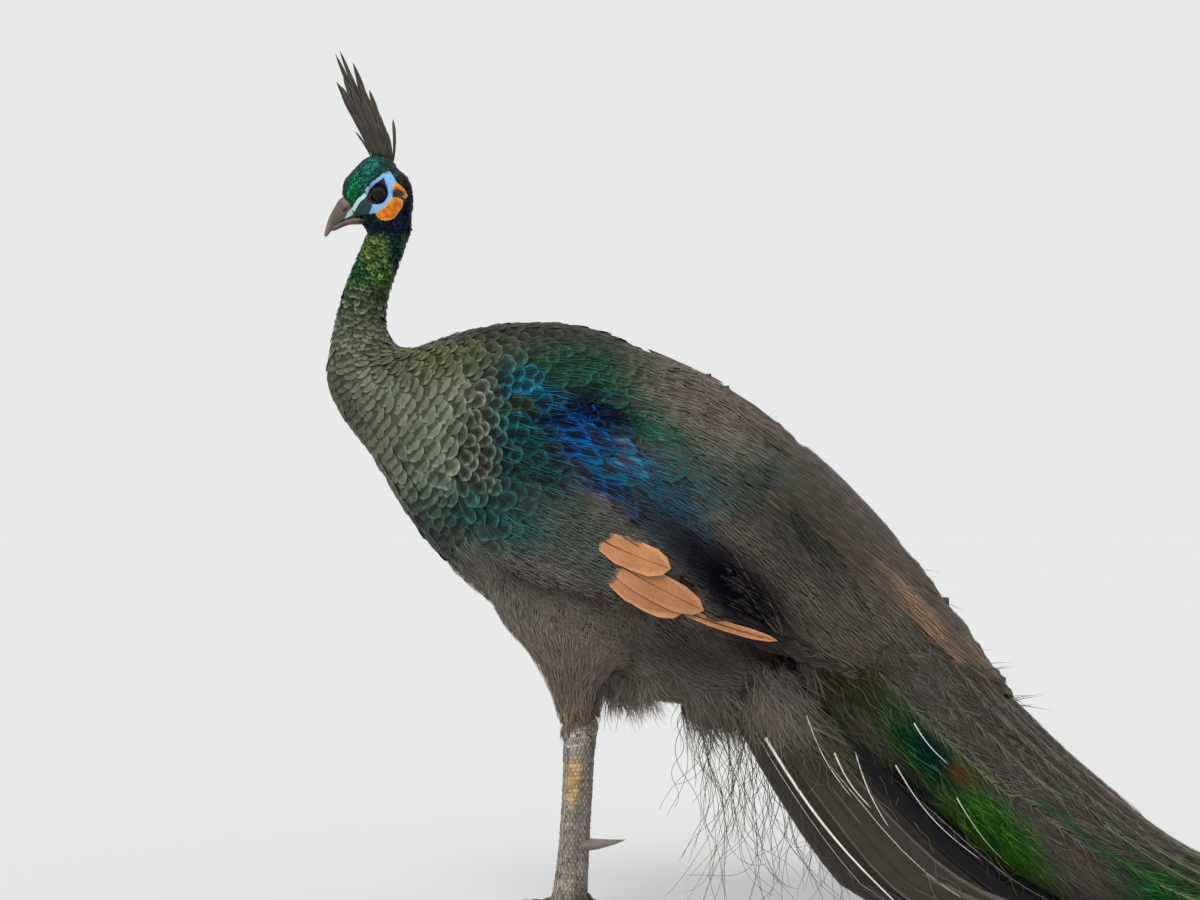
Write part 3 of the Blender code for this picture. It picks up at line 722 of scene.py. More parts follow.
def feathersOn(tract, places, form, on=None):
    # lays one short feather at each place: its path, across and normal vectors, half widths, bake home and root
    t, a, dt, da = places.T
    on = on or ground
    root, outward = on.below(tract, t, a)
    ahead = tract.points(t + dt * 0.5, a) - tract.points(t - dt * 0.5, a)
    beside = tract.points(t, a + da * 0.5) - tract.points(t, a - da * 0.5)
    shortest, longest = form.get("pitch", (0.5, 60))
    length = np.clip(np.linalg.norm(ahead, axis=1), shortest, longest) * form["overlap"]
    length *= chance.uniform(1 - form["varied"], 1 + form["varied"], len(t))
    width = np.clip(np.linalg.norm(beside, axis=1), shortest, longest * 1.8) * form["breadth"]
    flow = unit(ahead - outward * (ahead * outward).sum(1, keepdims=True))
    sideways = np.cross(flow, outward)
    bias = form["swing"](t, a) * -tract.side if "swing" in form else 0.0
    swing = np.radians(chance.normal(0, form["unruly"], len(t)) + bias)[:, None]
    flow = unit(flow * np.cos(swing) + sideways * np.sin(swing))
    rows = np.array(form["profile"])   # share of the length, share of the half width
    reach = length[:, None] * rows[:, 0]
    guess = root[:, None] + flow[:, None] * reach[..., None]
    up = np.repeat(outward[:, None], len(rows), 1)
    droop, rise = form.get("slopes", (0.35, 0.3))   # stiff vanes bridge the steps of the skin
    high = np.clip(on.heights(guess, up, 12.0), -droop * reach, rise * reach)
    lift = between(*form["lift"], rows[:, 0]) * chance.uniform(0.75, 1.25, (len(t), 1))
    path = guess + up * (high + lift)[..., None]
    half = width[:, None] / 2 * rows[:, 1]
    first, last = places[:, :2].min(0), places[:, :2].max(0)
    home = ((places[:, :2] - first) / (last - first + 1e-9))[:, ::-1]
    return path, *framed(path, up), half, home, root


scaleProfile = ((0, 0), (0.35, 0.8), (0.7, 1.0), (0.91, 0.66), (1.0, 0))
crescentProfile = ((0, 0), (0.3, 0.85), (0.62, 1.0), (0.86, 0.84), (1.0, 0))
spearProfile = ((0, 0), (0.25, 0.8), (0.55, 1.0), (0.82, 0.62), (1.0, 0))
barbProfile = ((0, 1), (0.5, 0.8), (1.0, 0))


def uneven(amount, count):   # feather to feather brightness, with nothing far out
    return np.exp(np.clip(chance.normal(0, 1, (count, 1)), -1.7, 1.5) * amount)


def varied(shades, amount, hue=0.0):   # feather to feather difference in brightness and a little in hue
    brighter = uneven(amount, len(shades))
    return np.clip(shades * brighter * np.exp(chance.normal(0, hue, shades.shape)), 0, 1)


def mottled(centre, rim, gloss, together, amount, hue):   # unevenness that a feather's middle and rim share
    shift = uneven(together, len(centre))
    return (*(np.clip(varied(tone, amount, hue) * shift, 0, 1) for tone in (centre, rim)), gloss)


def featherPaint(name, roughness, rim=(0.62, 0.95), barbs=26, barbDepth=0.3, metal=0.4, shaft=0.25, sheen=0.0,
                 bump=0.35, mottle=0.3, outline=0.0, shadow=0.0, brighter=1.0):
    look = Finish(name, Specular_IOR_Level=0.06, Sheen_Weight=sheen, Sheen_Roughness=0.4)
    centre, edge, gloss = look.attribute("tint"), look.attribute("rim"), look.attribute("tint", "Alpha")
    u, v = look.uv()
    side = abs(u * 2 - 1)
    reach = (side ** 2 + ((v - 0.5) * 1.9).max(0.0) ** 2) ** 0.5
    shade = look.mix(look.step(reach, *rim), centre, edge)
    # painted shade: outline lays a near-black line round each feather's edge, where the feathers overlap
    shade = look.mix(look.step(reach, 0.93, 1.02) * outline, shade, (0.004, 0.004, 0.004))
    line = ((v * barbs - side * (barbs * 0.32)) * 6.283).sine() * 0.5 + 0.5
    grain, patchy = look.noise(420.0, 2.0), look.noise(55.0)
    light = (line * barbDepth + (1 - barbDepth * 0.6)) * brighter
    light = light * (patchy * mottle * 2 + (1 - mottle)) * (grain * 0.5 + 0.75)
    quill = look.step(1 - side, 0.86, 0.97) * look.step(1 - v, 0.15, 0.5)
    light = light * (1 - quill * shaft) * (1 - look.step(1 - v, 0.38, 0.52) * shadow)
    look.toned(shade, light)
    look.to("Metallic", gloss * metal)
    look.to("Roughness", (patchy * 0.16 + (roughness - 0.08)) - gloss * 0.12)
    look.bump(line * 0.6 + grain * 0.4, bump)
    return look.material


barbless = {"barbs": 1, "barbDepth": 0.0, "metal": 0.0, "shaft": 0.0}
# outline sets the painted shade round each feather's edge; shadow the painted shadow below the tip of the feather lying
# over it
strokePaint = featherPaint("strokeFeathers", 0.4, (0.25, 0.8), barbs=22, metal=0.35, outline=0.8, barbDepth=0.4)
barbPaint = featherPaint("barbs", 0.5, barbs=5, barbDepth=0.15, metal=0.35, shaft=0.0, bump=0.1)
scalePaint = featherPaint("scaleFeathers", 0.5, (0.55, 0.9), outline=0.7, shadow=0.6)
covertPaint = featherPaint("covertFeathers", 0.42, (0.3, 0.9), outline=0.6, shadow=0.5)
softPaint = featherPaint("softFeathers", 0.7, (0.6, 0.98), barbs=44, barbDepth=0.4, metal=0.1, sheen=0.1, shaft=0.0,
                         brighter=1.5)
flightPaint = featherPaint("flightFeathers", 0.55, (0.8, 0.99), barbs=120, barbDepth=0.22, metal=0.2, sheen=0.05)
buffPaint = featherPaint("buffFeathers", 0.6, (0.75, 0.99), barbs=90, barbDepth=0.25, metal=0.0, shaft=0.0)
quillPaint = featherPaint("quills", 0.4, **barbless)

wingOutline = [row[:2] for row in wingRows] + [row[2:4] for row in reversed(wingRows)]
buffArea = (298, 306, 50, 22, -35, 0.2)   # where the buff flight feathers show below the dark ones
blueArea = (268, 412, 84, 44, -42, 0.1)   # where the coverts are long and narrow
flankLine = ((110, 140, 165, 190, 223, 249, 265, 330, 420), (310, 332, 350, 372, 396, 386, 370, 372, 380))


def softFlank(points):   # 1 in the smooth area below the blue patch, falling off over its edge
    return ramp(np.interp(points[:, 0], *flankLine) - points[:, 2], -14, 14)


def offWing(points):
    return ~(insideLine(points[:, 0], points[:, 2], wingOutline) & (np.abs(points[:, 1]) > 16))


def plumagePiece(name, tract, places, form, on=None):   # small feathers
    path, across, normal, half, home, root = feathersOn(tract, places, form, on)
    together = form.get("shades", 0.14)
    if callable(together):
        together = together(root[:, 2:])
    tints = mottled(*painted(path[:, 3]), together, 0.05, form.get("hue", 0.09))
    piece = vaneMesh(name, path, across, normal, half, home, tints, form.get("camber", 0.18), 0.15)
    return finished(piece, form["paint"], form["slot"])


def downPiece(name, tract, places, form, on=None):   # loose hair-like barbs, lying close
    path, across, normal, half, home, root = feathersOn(tract, places, form, on)
    centre, rim, gloss = painted(root, *form.get("marks", (plumageMarks, plumageBase)))
    share = chance.uniform(0, 1, (len(root), 1)) ** 1.5
    shades = varied(between(centre, rim, share), *form.get("uneven", (0.12, 0.02)))
    return strandPiece(name, path, across, normal, half, home, np.clip(shades * form["lighter"], 0, 1), gloss,
                       barbPaint, form.get("slot", "dark_feathers"))


def grown(name, tract, form, kept=None, on=None, around=allRound, **changed):
    # covers a tract with one kind of feather, where kept(places, low) holds
    form = {**form, **changed}
    places, low = latticeOn(tract, form, around, form.get("aspect", 1.0))
    if kept:
        places = places[kept(places, low)]
    make = downPiece if form["profile"] is barbProfile else plumagePiece
    return make(name, tract, places, form, on)


softFeather = {"paint": softPaint, "slot": "dark_feathers", "hue": 0.03, "camber": 0.1, "profile": spearProfile}
downBarb = {"profile": barbProfile, "pitch": (2.5, 3.6), "slopes": (0.5, 0.5)}
neckPlumage = {
    "spacing": lambda t: 2.3 + 0.42 * t, "span": (0.15, 7.0), "overlap": 2.3, "breadth": 1.45, "varied": 0.2,
    # up the neck the feathers differ more in brightness: partly their own tone, partly painted glints
    "unruly": 13, "lift": (0.3, 2.4), "profile": scaleProfile, "shades": lambda z: 0.14 + 0.42 * ramp(z, 520, 575),
    "hue": 0.05, "paint": scalePaint, "slot": "neck_feathers",
}
breastPlumage = {
    "spacing": lambda t: 5.4 + 0.6 * (t - 7.0), "span": (7.0, 12.4), "aspect": 1.9, "overlap": 2.5, "breadth": 1.45,
    "varied": 0.12, "unruly": 5, "lift": (0.5, 2.8), "profile": crescentProfile, "pitch": (4.5, 9.0), "shades": 0.1,
    "hue": 0.025, "paint": scalePaint, "slot": "neck_feathers",
}
mantlePlumage = {
    "spacing": 6.6, "span": (12.4, 14.0), "aspect": 1.3, "overlap": 2.4, "breadth": 1.4, "varied": 0.15, "unruly": 8,
    "lift": (0.8, 3.2), "profile": scaleProfile, "pitch": (5, 9), "hue": 0.04, "paint": scalePaint,
    "slot": "neck_feathers",
}
bellyPlumage = {
    **softFeather, "spacing": lambda t: 9.0 + 0.3 * (t - 11), "span": (12.4, 18.9), "overlap": 3.0, "breadth": 1.7,
    "varied": 0.2, "unruly": 9, "lift": (0.6, 3.4), "pitch": (5, 13),
}
bellyDown = {
    **downBarb, "spacing": 3.1, "span": (11.6, 18.9), "overlap": 4.6, "breadth": 0.26, "varied": 0.3, "unruly": 9,
    "lift": (1.2, 3.6), "lighter": 2.5,
}
thighPlumage = {
    **softFeather, "spacing": lambda t: 8.0 - 0.9 * np.minimum(t, 5), "span": (0.0, 5.0), "overlap": 3.0,
    "breadth": 1.7, "varied": 0.2, "unruly": 8, "lift": (0.3, 2.2), "pitch": (3.0, 11),
}


def underside(places):   # the lower side of the body, and all round its rear
    return (np.abs(places[:, 1] % (2 * math.pi) - math.pi) < 2.3) | (places[:, 0] > 13.8)


def bellyDownKept(places, low):
    kept = underside(places) & (offWing(low) | (low[:, 2] < 330))
    return kept & (chance.uniform(0, 1, len(low)) < ramp(low[:, 0] * 0.9 - low[:, 2], -260, -200))


def makeBodyPlumage():
    grown("neck_plumage", bodyTract, neckPlumage, lambda places, low: ~bareFace(low) & (low[:, 2] < 634))
    grown("breast_plumage", bodyTract, breastPlumage, lambda places, low: offWing(low))
    grown("mantle_plumage", bodyTract, mantlePlumage, around=(-1.2, 1.2))
    belly = grown("belly_plumage", bodyTract, bellyPlumage,
                  lambda places, low: underside(places) & (offWing(low) | (low[:, 2] < 320)))
    grown("belly_down", bodyTract, bellyDown, bellyDownKept, Ground(skin, belly))
    for side, tract in thighTracts.items():
        thigh = grown("thigh_plumage_" + side, tract, thighPlumage)
        grown("thigh_down_" + side, tract, bellyDown, None, Ground(skin, thigh), span=(0.0, 5.0))


def longVanes(name, paths, normals, half, shades, rims, gloss, material, slotName, camber, *nodes, thick=0.35):
    # large feathers: their map for baking gives each a tall strip of its own
    count = len(paths)
    half = half * (1 - chance.uniform(0, 0.07, half.shape))
    piece = vaneMesh(name, paths, *framed(paths, normals), half, np.zeros((count, 2)), (shades, rims, gloss), camber,
                     thick)
    own = np.empty(len(piece.data.loops) * 2)
    piece.data.uv_layers["feather"].uv.foreach_get("vector", own)
    own = own.reshape(-1, 2)
    vertexOf = np.empty(len(piece.data.loops), np.int32)
    piece.data.loops.foreach_get("vertex_index", vertexOf)
    which = vertexOf // (len(piece.data.vertices) // count)
    columns = math.ceil(math.sqrt(count * 4))
    lines = math.ceil(count / columns)
    spot = np.stack([(which % columns + 0.08 + 0.84 * own[:, 0]) / columns,
                     (which // columns + 0.04 + 0.92 * own[:, 1]) / lines], -1)
    piece.data.uv_layers["OFBake"].uv.foreach_set("vector", spot.ravel())
    return finished(piece, material, slotName, *nodes)


def rowHome(count):   # a row of patches across the middle of the map for baking
    return np.stack([np.linspace(0, 1, count), np.full(count, 0.5)], -1)


def quillsOn(name, paths, normals, radius, shade, slotName, rise):
    side, count, rows = framed(paths, normals)[0], *paths.shape[:2]
    half = np.tile(radius * (1 - 0.75 * np.linspace(0, 1, rows)), (count, 1))
    strandPiece(name, paths + normals * rise, side, normals, half, rowHome(count),
                np.tile(colour(*shade), (count, 1)), 0.0, quillPaint, slotName)


def drawn(form, share):   # x and z along straight lines, from each row's root (x, z) to its tip (x, z)
    return (between(form[:, k:k + 1], form[:, k + 2:k + 3], share) for k in (0, 1))


def shadesOf(count, shade, amount):   # one colour for so many feathers, a little uneven
    return varied(np.tile(colour(*shade), (count, 1)), amount)


covertPlumage = {
    "spacing": lambda t: 6.8 + 1.5 * np.clip(t - 1.0, 0, 4), "span": (0.0, 4.8), "overlap": 2.5, "breadth": 1.35,
    "varied": 0.15, "unruly": 7, "lift": (0.8, 3.0), "pitch": (6, 13), "profile": scaleProfile, "shades": 0.22,
    "swing": lambda t, a: 32 * ramp(a, 0.15, 0.6) * ramp(t, 1.2, 3.0), "hue": 0.04, "paint": covertPaint,
    "slot": "wing_covert_feathers",
}
strokePlumage = {   # the long narrow coverts of the blue patch
    "overlap": 3.6, "breadth": 1.15, "varied": 0.3, "unruly": 12, "lift": (1.0, 3.2), "pitch": (6, 9),
    "profile": spearProfile, "swing": lambda t, a: 26 * ramp(a, 0.15, 0.6), "shades": 0.4, "paint": strokePaint,
    "slot": "wing_covert_feathers",
}
backPlumage = {
    **softFeather, "spacing": 9.5, "span": (4.2, 8.7), "aspect": 1.2, "overlap": 3.4, "breadth": 1.8, "varied": 0.2,
    "unruly": 4, "lift": (0.9, 2.8), "pitch": (5, 13), "swing": lambda t, a: 8 * ramp(a, 0.2, 0.6), "shades": 0.08,
}
wingDown = {
    **downBarb, "spacing": 3.2, "span": (0.3, 8.75), "overlap": 5.5, "breadth": 0.22, "varied": 0.35, "unruly": 5,
    "lift": (0.6, 1.6), "swing": backPlumage["swing"], "lighter": 2.2,
}
flightFeathers = {
    "count": 15, "rows": 18, "down": (0.98, 0.02), "halfWidth": (12, 18), "start": (4.4, 5.0), "end": 7.2,
    "longer": 1.8, "shorter": 2.6, "stack": 0.22, "height": 1.2,
}
# large feathers that show at the side of the wing: root (x, z), tip (x, z), half width
buffFeathers = (
    (240, 351, 309, 322, 13.5), (248, 335, 338, 285, 13.0), (248, 323, 320, 283, 13.5),
    (306, 290, 403, 258, 4.4), (302, 284, 394, 258, 3.6),
)
rearFeathers = (
    (398, 398, 474, 276, 8.5), (384, 384, 452, 262, 8.0), (366, 372, 428, 258, 7.5), (352, 356, 407, 262, 6.5),
    (414, 392, 500, 252, 8.5), (436, 380, 524, 236, 8.0),
)


def makeFlightFeathers(side):
    form, tract = flightFeathers, wingTracts[side]
    order = np.arange(form["count"]) / (form["count"] - 1)   # from the lowest edge of the wing to the highest
    end = form["end"] + form["longer"] * np.sin(np.pi * np.clip(order * 1.25, 0, 0.5))
    end = end - form["shorter"] * np.clip(order - 0.7, 0, 1) / 0.3   # the topmost end sooner
    share = np.linspace(0, 1, form["rows"]) ** 0.9
    order = order[:, None]
    t = between(between(*form["start"], order), end[:, None], share)
    a = np.clip(between(*form["down"], order) + 0.05 * share * (0.5 - order), 0.01, 0.99)
    place, normal = ground.below(tract, t, a)
    height = form["height"] + form["stack"] * np.arange(form["count"])[:, None] + 1.2 * share
    paths = place + normal * height[..., None]
    half = between(*form["halfWidth"], order) * np.minimum(1, 1.25 * np.sqrt(np.maximum(1 - share ** 3, 0)))
    centre, rim, gloss = painted(paths[:, form["rows"] // 2])
    flight = longVanes("flight_feathers_" + side, paths, normal, half, varied(centre, 0.1), varied(rim, 0.1), gloss,
                       flightPaint, "dark_feathers", 0.12)
    quillsOn("flight_quills_" + side, paths[:, 6:], normal[:, 6:], 0.5, (74, 66, 56), "dark_feathers", 1.6)
    return flight


def backKept(places, low):   # fewer towards the tail, and none over the buff feathers or up on the top edge
    thinned = chance.uniform(0, 1, len(places)) < 1.0 - 0.9 * ramp(places[:, 0], 6.0, 8.7)
    clear = places[:, 1] > np.where(places[:, 0] < 4.9, 0.13, 0.03)
    return (softMark(low, *buffArea) < 0.5) & thinned & clear


def wingDownKept(places, low):   # thick on the rear and on the soft flank, thin over the coverts
    share = np.maximum(ramp(places[:, 0], 3.0, 4.0), softFlank(low))
    share = np.maximum(share, 0.35 * ramp(places[:, 0], 1.8, 2.6))
    kept = (softMark(low, 300, 311, 42, 14, -33, 0.2) < 0.5) | (low[:, 0] < 258 + chance.uniform(-6, 4, len(low)))
    kept &= chance.uniform(0, 1, len(low)) < share
    return kept & (chance.uniform(0, 1, len(low)) < 1 - 0.65 * ramp(places[:, 0], 6.0, 8.0))


def makeWing(side):
    tract = wingTracts[side]
    places, low = latticeOn(tract, covertPlumage, (0.0, 1.12), 1.6)
    free = softMark(low, *buffArea) < 0.5
    places, low = places[free], low[free]
    long = softMark(low, *blueArea) > 0.5
    coverts = plumagePiece("wing_coverts_plumage_" + side, tract, places[~long], covertPlumage)
    blue = plumagePiece("wing_blue_plumage_" + side, tract, places[long], strokePlumage)
    flight = makeFlightFeathers(side)
    back = grown("back_plumage_" + side, tract, backPlumage, backKept, around=(0.0, 1.06))
    sideVanes("primaries", side, buffFeathers, (174, 120, 82), (194, 140, 100), (84, 56, 38), buffPaint,
              "buff_feathers", 3.2, "wing_primaries_" + side)
    rear = sideVanes("rear_vanes", side, rearFeathers, (46, 43, 41), (76, 71, 64), (96, 86, 76), flightPaint,
                     "dark_feathers", 3.0)
    grown("wing_down_" + side, tract, wingDown, wingDownKept, Ground(skin, flight, coverts, blue, back, rear),
          (0.0, 1.06))


def sideVanes(name, side, feathers, shade, rim, quill, paint, slotName, lift, *nodes):
    # large feathers lying one over another on the wing's side
    sign, form = sides[side], np.array(feathers)
    share, count = np.linspace(0, 1, 14), len(feathers)
    x, z = drawn(form, share)
    z = z - 2.0 * np.sin(np.pi * share)
    out = outline(x, z, sign, ground)
    out = np.maximum(out, out[:, :1] - 14 * share)
    out += (lift + 1 + 0.7 * np.arange(count)[::-1, None]) * ramp(share, 0, 0.3) - 1 + 1.2 * share
    paths = np.stack([x, sign * out, z], -1)
    half = form[:, 4:5] * (0.5 + 0.5 * ramp(share, 0, 0.4)) * np.minimum(1, 1.3 * np.sqrt(1 - share ** 3))
    normals = unit(np.tile([0.0, sign, 0.12], (*half.shape, 1)))
    shades, rims = (shadesOf(count, tone, 0.06) for tone in (shade, rim))
    vanes = longVanes(name + "_" + side, paths, normals, half, shades, rims, 0.0, paint, slotName, 0.1, *nodes,
                      thick=0.5)
    quillsOn(name + "_quills_" + side, paths, normals, 0.6, quill, slotName, 1.2)
    return vanes


saddle = {"rows": 52, "across": 7, "span": (290, 600), "half": (21, 11), "length": 22.0, "halfWidth": 6.8}
saddleLine = ((284, 316, 348, 387, 408, 451, 510, 552, 614), (518.5, 505, 489.5, 464.5, 448, 397.5, 341.5, 290.5, 207))


def makeSaddle():   # small feathers over the line where the two wings meet
    form = saddle
    at, beside = np.meshgrid(np.linspace(*form["span"], form["rows"]), np.linspace(-1, 1, form["across"]),
                             indexing="ij")
    start = at.ravel() + chance.normal(0, 1.5, at.size)
    y = beside.ravel() * np.interp(start, form["span"], form["half"]) + chance.normal(0, 1.2, at.size)
    share = np.linspace(0, 1, 7)
    x = start[:, None] + form["length"] * 0.75 * share
    slope = (np.interp(x + 6, *saddleLine) - np.interp(x - 6, *saddleLine)) / 12
    y = y[:, None] * (1 + 0.1 * share)
    z = np.interp(x, *saddleLine) - 0.3 - 0.016 * y ** 2 + 2.2 * share
    normals = unit(np.stack([-slope, 0.032 * y, np.ones_like(x)], -1))
    half = np.tile(np.interp(share, (0, 0.25, 0.6, 0.85, 1), (0.4, 0.9, 1.0, 0.7, 0)), (at.size, 1))
    paths = np.stack([x, y, z], -1)
    centre, rim, gloss = painted(paths[:, 2])
    longVanes("back_saddle", paths, normals, form["halfWidth"] * half, varied(centre, 0.12, 0.02),
              varied(rim, 0.12, 0.02), gloss, scalePaint, "dark_feathers", 0.15, thick=0.25)


makeBodyPlumage()
makeSaddle()
print("body plumage")
for side in sides:
    makeWing(side)
print("wings")


# train and tail lie on beds of their own, sunk below their strands
trainShape = {   # nodes, voxel, coat depth
    "train_bed": (["train_base", "train_fall", "train_middle", "train_end"], 0.0045, 0.0040),
    "tail_bed": (["tail"], 0.0040, 0.0030),
}
trainMarks = (
    (470, 226, 40, 30, -50, 0.7, (50, 50, 34), (86, 88, 42), 0.15),
    (528, 162, 52, 22, -50, 0.6, (16, 58, 20), (66, 124, 40), 0.55),       # green band down the side
    (590, 84, 66, 30, -52, 0.5, (22, 84, 20), (100, 150, 44), 0.6),
    (536, 158, 34, 12, -50, 0.7, (6, 40, 42), (12, 74, 64), 0.6),
    (528, 98, 58, 20, -58, 0.6, (5, 6, 20), (12, 16, 40), 0.3),           # navy below it
    (560, 144, 12, 9, -50, 0.5, (96, 66, 38), (108, 84, 44), 0.2),        # the first eye, half hidden
    (742, 36, 52, 24, -30, 0.7, (14, 74, 30), (36, 110, 46), 0.5),
    (960, 20, 150, 60, 0, 0.7, (26, 72, 30), (90, 104, 40), 0.5),
    (1280, 20, 240, 60, 0, 0.6, (34, 64, 28), (98, 92, 42), 0.5),
)
trainBase = ((92, 86, 79), (104, 98, 90), 0.05)
tailRows = (
    (392, 292, 344, 222, 26), (440, 222, 376, 164, 44), (506, 148, 418, 92, 58), (580, 76, 470, 26, 70),
    (640, 28, 548, 0, 74), (690, 7, 650, 0, 60),
)
tailTract = Tract(tailRows)
trainFuzz = {
    "spacing": 3.6, "span": (0.0, 4.6), "overlap": 5.5, "breadth": 0.22, "varied": 0.35, "unruly": 20,
    "lift": (0.2, 4.2), "profile": barbProfile, "pitch": (3, 5), "slopes": (0.5, 0.5), "lighter": 1.0,
    "uneven": (0.35, 0.08), "marks": (trainMarks, trainBase), "slot": "train_feathers",
}
eyePlumes = {"span": (3.3, 10.9), "spacing": 46.0, "aspect": 0.9, "around": (-1.75, 1.75), "length": 150.0,
             "rows": 9, "barbs": 44, "barb": 34.0, "lean": 34.0, "leanSpread": 11, "fanned": (760, 900),
             "bend": 0.18, "shaftsFrom": 800, "perPiece": 18000}
eyeSpots = {"rows": 11, "from": 830, "size": 16, "larger": 5, "length": 2.1, "share": 0.95}
tailFeathers = {"count": 10, "rows": 16, "halfWidth": 19.0, "start": 0.25, "end": 4.9, "shorter": 0.75}
paleQuills = (   # start (x, z), end (x, z), sag, thickness
    (394, 170, 516, 19, 7, 2.0),
    (454, 158, 486, 110, 3, 1.1), (473, 158, 502, 92, 3, 0.8), (509, 146, 590, 58, 7, 0.9),
    (430, 190, 470, 118, 4, 0.7), (522, 186, 552, 150, 2, 0.7), (560, 120, 630, 40, 5, 0.6),
)


def makeBed(name, marks, base):
    nodes, voxel, depth = trainShape[name]
    bed = formed(name, nodes, voxel, 8, swell)
    points, normals = coordinates(bed), coordinates(bed, "normal")
    inwards = np.full(len(points), depth + swell)
    heldBack(bed, points, normals, inwards, range(len(points)), 0.02)
    setCoordinates(bed, points - normals * inwards[:, None])
    stained(bed, marks, base)
    return bed


def makeEyePlumes():
    form = eyePlumes
    places = latticeOn(trainTract, form, form["around"], form["aspect"], 0.25)[0]
    t, a, dt = places[np.argsort(-places[:, 0]), :3].T
    count, rows, barbs = len(t), form["rows"], form["barbs"]
    share = np.linspace(0, 1, rows)
    length = form["length"] * chance.uniform(0.85, 1.15, count)
    pace = form["spacing"] / dt
    along = np.clip(t[:, None] - (length / pace)[:, None] * (1 - share), 0.2, 11)
    place, up = trainGround.below(trainTract, along, np.repeat(a[:, None], rows, 1))
    paths = place + up * (1.2 + 2.6 * share + chance.uniform(0, 1.6, (count, 1)))[..., None]
    base, rim, gloss = painted(paths[:, -1], trainMarks, trainBase)
    ahead = unit(np.gradient(paths, axis=1))
    beside = unit(np.cross(ahead, up))
    at = np.linspace(0.02, 1.0, barbs) * (rows - 1)   # where each barb grows from its shaft
    first = np.minimum(at.astype(int), rows - 2)
    part = (at - first)[None, :, None]
    roots = (paths[:, first] * (1 - part) + paths[:, first + 1] * part)[:, :, None]
    forward, upward = ahead[:, first], up[:, first]
    ups = np.repeat(upward[:, :, None], 3, 2)
    steps = np.array([0.0, 0.45, 1.0])
    pieces = []
    for sign in (-1, 1):
        lean = form["lean"] * (0.45 + 0.55 * ramp(paths[:, -1:, 0], *form["fanned"]))
        lean = np.radians(lean + chance.normal(0, form["leanSpread"], (count, barbs)))[..., None]
        reach = form["barb"] * chance.uniform(0.7, 1.15, (count, barbs)) * (1 - 0.25 * at / (rows - 1))
        reach = reach[..., None]
        heading = forward * np.cos(lean) + sign * beside[:, first] * np.sin(lean)
        guess = roots + heading[:, :, None] * (reach * steps)[..., None]
        guess += forward[:, :, None] * (reach * form["bend"] * steps ** 2)[..., None]
        high = trainGround.heights(guess - ups * 2, ups, 30.0) - 2
        high = np.clip(high + 1.0 + 2.2 * chance.uniform(0, 1, (count, barbs, 1)), -0.3 * reach * steps,
                       0.3 * reach * steps)
        pieces.append((guess + ups * high[..., None]).reshape(-1, 3, 3))
    barbPaths = np.concatenate(pieces)
    which = np.tile(np.repeat(np.arange(count), barbs), 2)
    nearEye = np.tile(at / (rows - 1), count * 2)
    shades = varied(between(base[which], rim[which], nearEye[:, None]), 0.22, 0.12)
    home = np.stack([a[which] / 3.5 + 0.5, t[which] / 11], -1)
    half = np.tile([0.55, 0.45, 0.0], (len(barbPaths), 1))
    direction = unit(barbPaths[:, 2] - barbPaths[:, 0])[:, None].repeat(3, 1)
    normals = np.tile(upward.reshape(-1, 1, 3), (2, 3, 1))
    side = unit(np.cross(direction, normals))
    parts = math.ceil(len(barbPaths) / form["perPiece"])
    for number in range(parts):
        some = slice(*(k * len(barbPaths) // parts for k in (number, number + 1)))
        strandPiece("train_barbs_%d" % number, barbPaths[some], side[some], normals[some], half[some], home[some],
                    shades[some], gloss[which][some], barbPaint, "train_feathers")
    late = paths[:, -1, 0] > form["shaftsFrom"]
    quillsOn("train_shafts", paths[late], up[late], 0.5, (150, 142, 120), "train_feathers", 0.8)
    makeEyeSpots(t, paths[:, -1], ahead[:, -1:], up[:, -1:])


def makeEyeSpots(t, ends, ahead, up):   # an eye at each plume's end
    form, count = eyeSpots, len(t)
    rows = form["rows"]
    eyes = (chance.uniform(0, 1, count) < ramp(t, 3.2, 5.2) * form["share"]) & (ends[:, 0] > form["from"])
    share = np.linspace(0, 1, rows)
    size = chance.uniform(0.85, 1.1, count) * (form["size"] + form["larger"] * ramp(t, 4, 9))
    tip = ends - ahead[:, 0] * size[:, None]
    line = tip[:, None] + ahead * (size[:, None] * form["length"] * share)[..., None]
    ups = np.repeat(up, rows, 1)
    high = np.maximum(trainGround.heights(line - ups * 2, ups, 30.0) - 2, -6) + 4.5 + 2 * share
    line = line + ups * high[..., None]
    half = size[:, None] * np.sqrt(np.maximum(1 - (share * 2 - 1) ** 2, 0)) * (0.8 + 0.16 * share)
    shades, rims = (shadesOf(count, (60, 70, 30), 0.1)[eyes] for _ in range(2))
    longVanes("train_eyes", line[eyes], ups[eyes], half[eyes], shades, rims, 0.5, eyeSpotPaint(), "train_feathers",
              0.1, thick=0.3)


def eyeSpotPaint():
    look = Finish("eyeSpots", Specular_IOR_Level=0.06)
    u, v = look.uv()
    side = (u * 2 - 1) ** 2
    shade = look.attribute("tint")
    rings = ((0.50, 0.92, (0.16, 0.10, 0.02)), (0.50, 0.80, (0.20, 0.20, 0.03)), (0.54, 0.72, (0.13, 0.055, 0.015)),
             (0.60, 0.50, (0.01, 0.26, 0.24)), (0.64, 0.33, (0.015, 0.008, 0.10)))
    for middle, size, tone in rings:
        reach = (side + ((v - middle) * 1.9) ** 2) ** 0.5
        shade = look.mix(look.step(reach, size + 0.03, size - 0.09), shade, tone)
    line = ((v * 34 + abs(u * 2 - 1) * 14) * 6.283).sine() * 0.5 + 0.5
    look.toned(shade, line * 0.35 + 0.75)
    look.to("Roughness", line * 0.1 + 0.52)
    look.to("Metallic", line * 0.06 + 0.08)
    look.bump(line, 0.4)
    return look.material


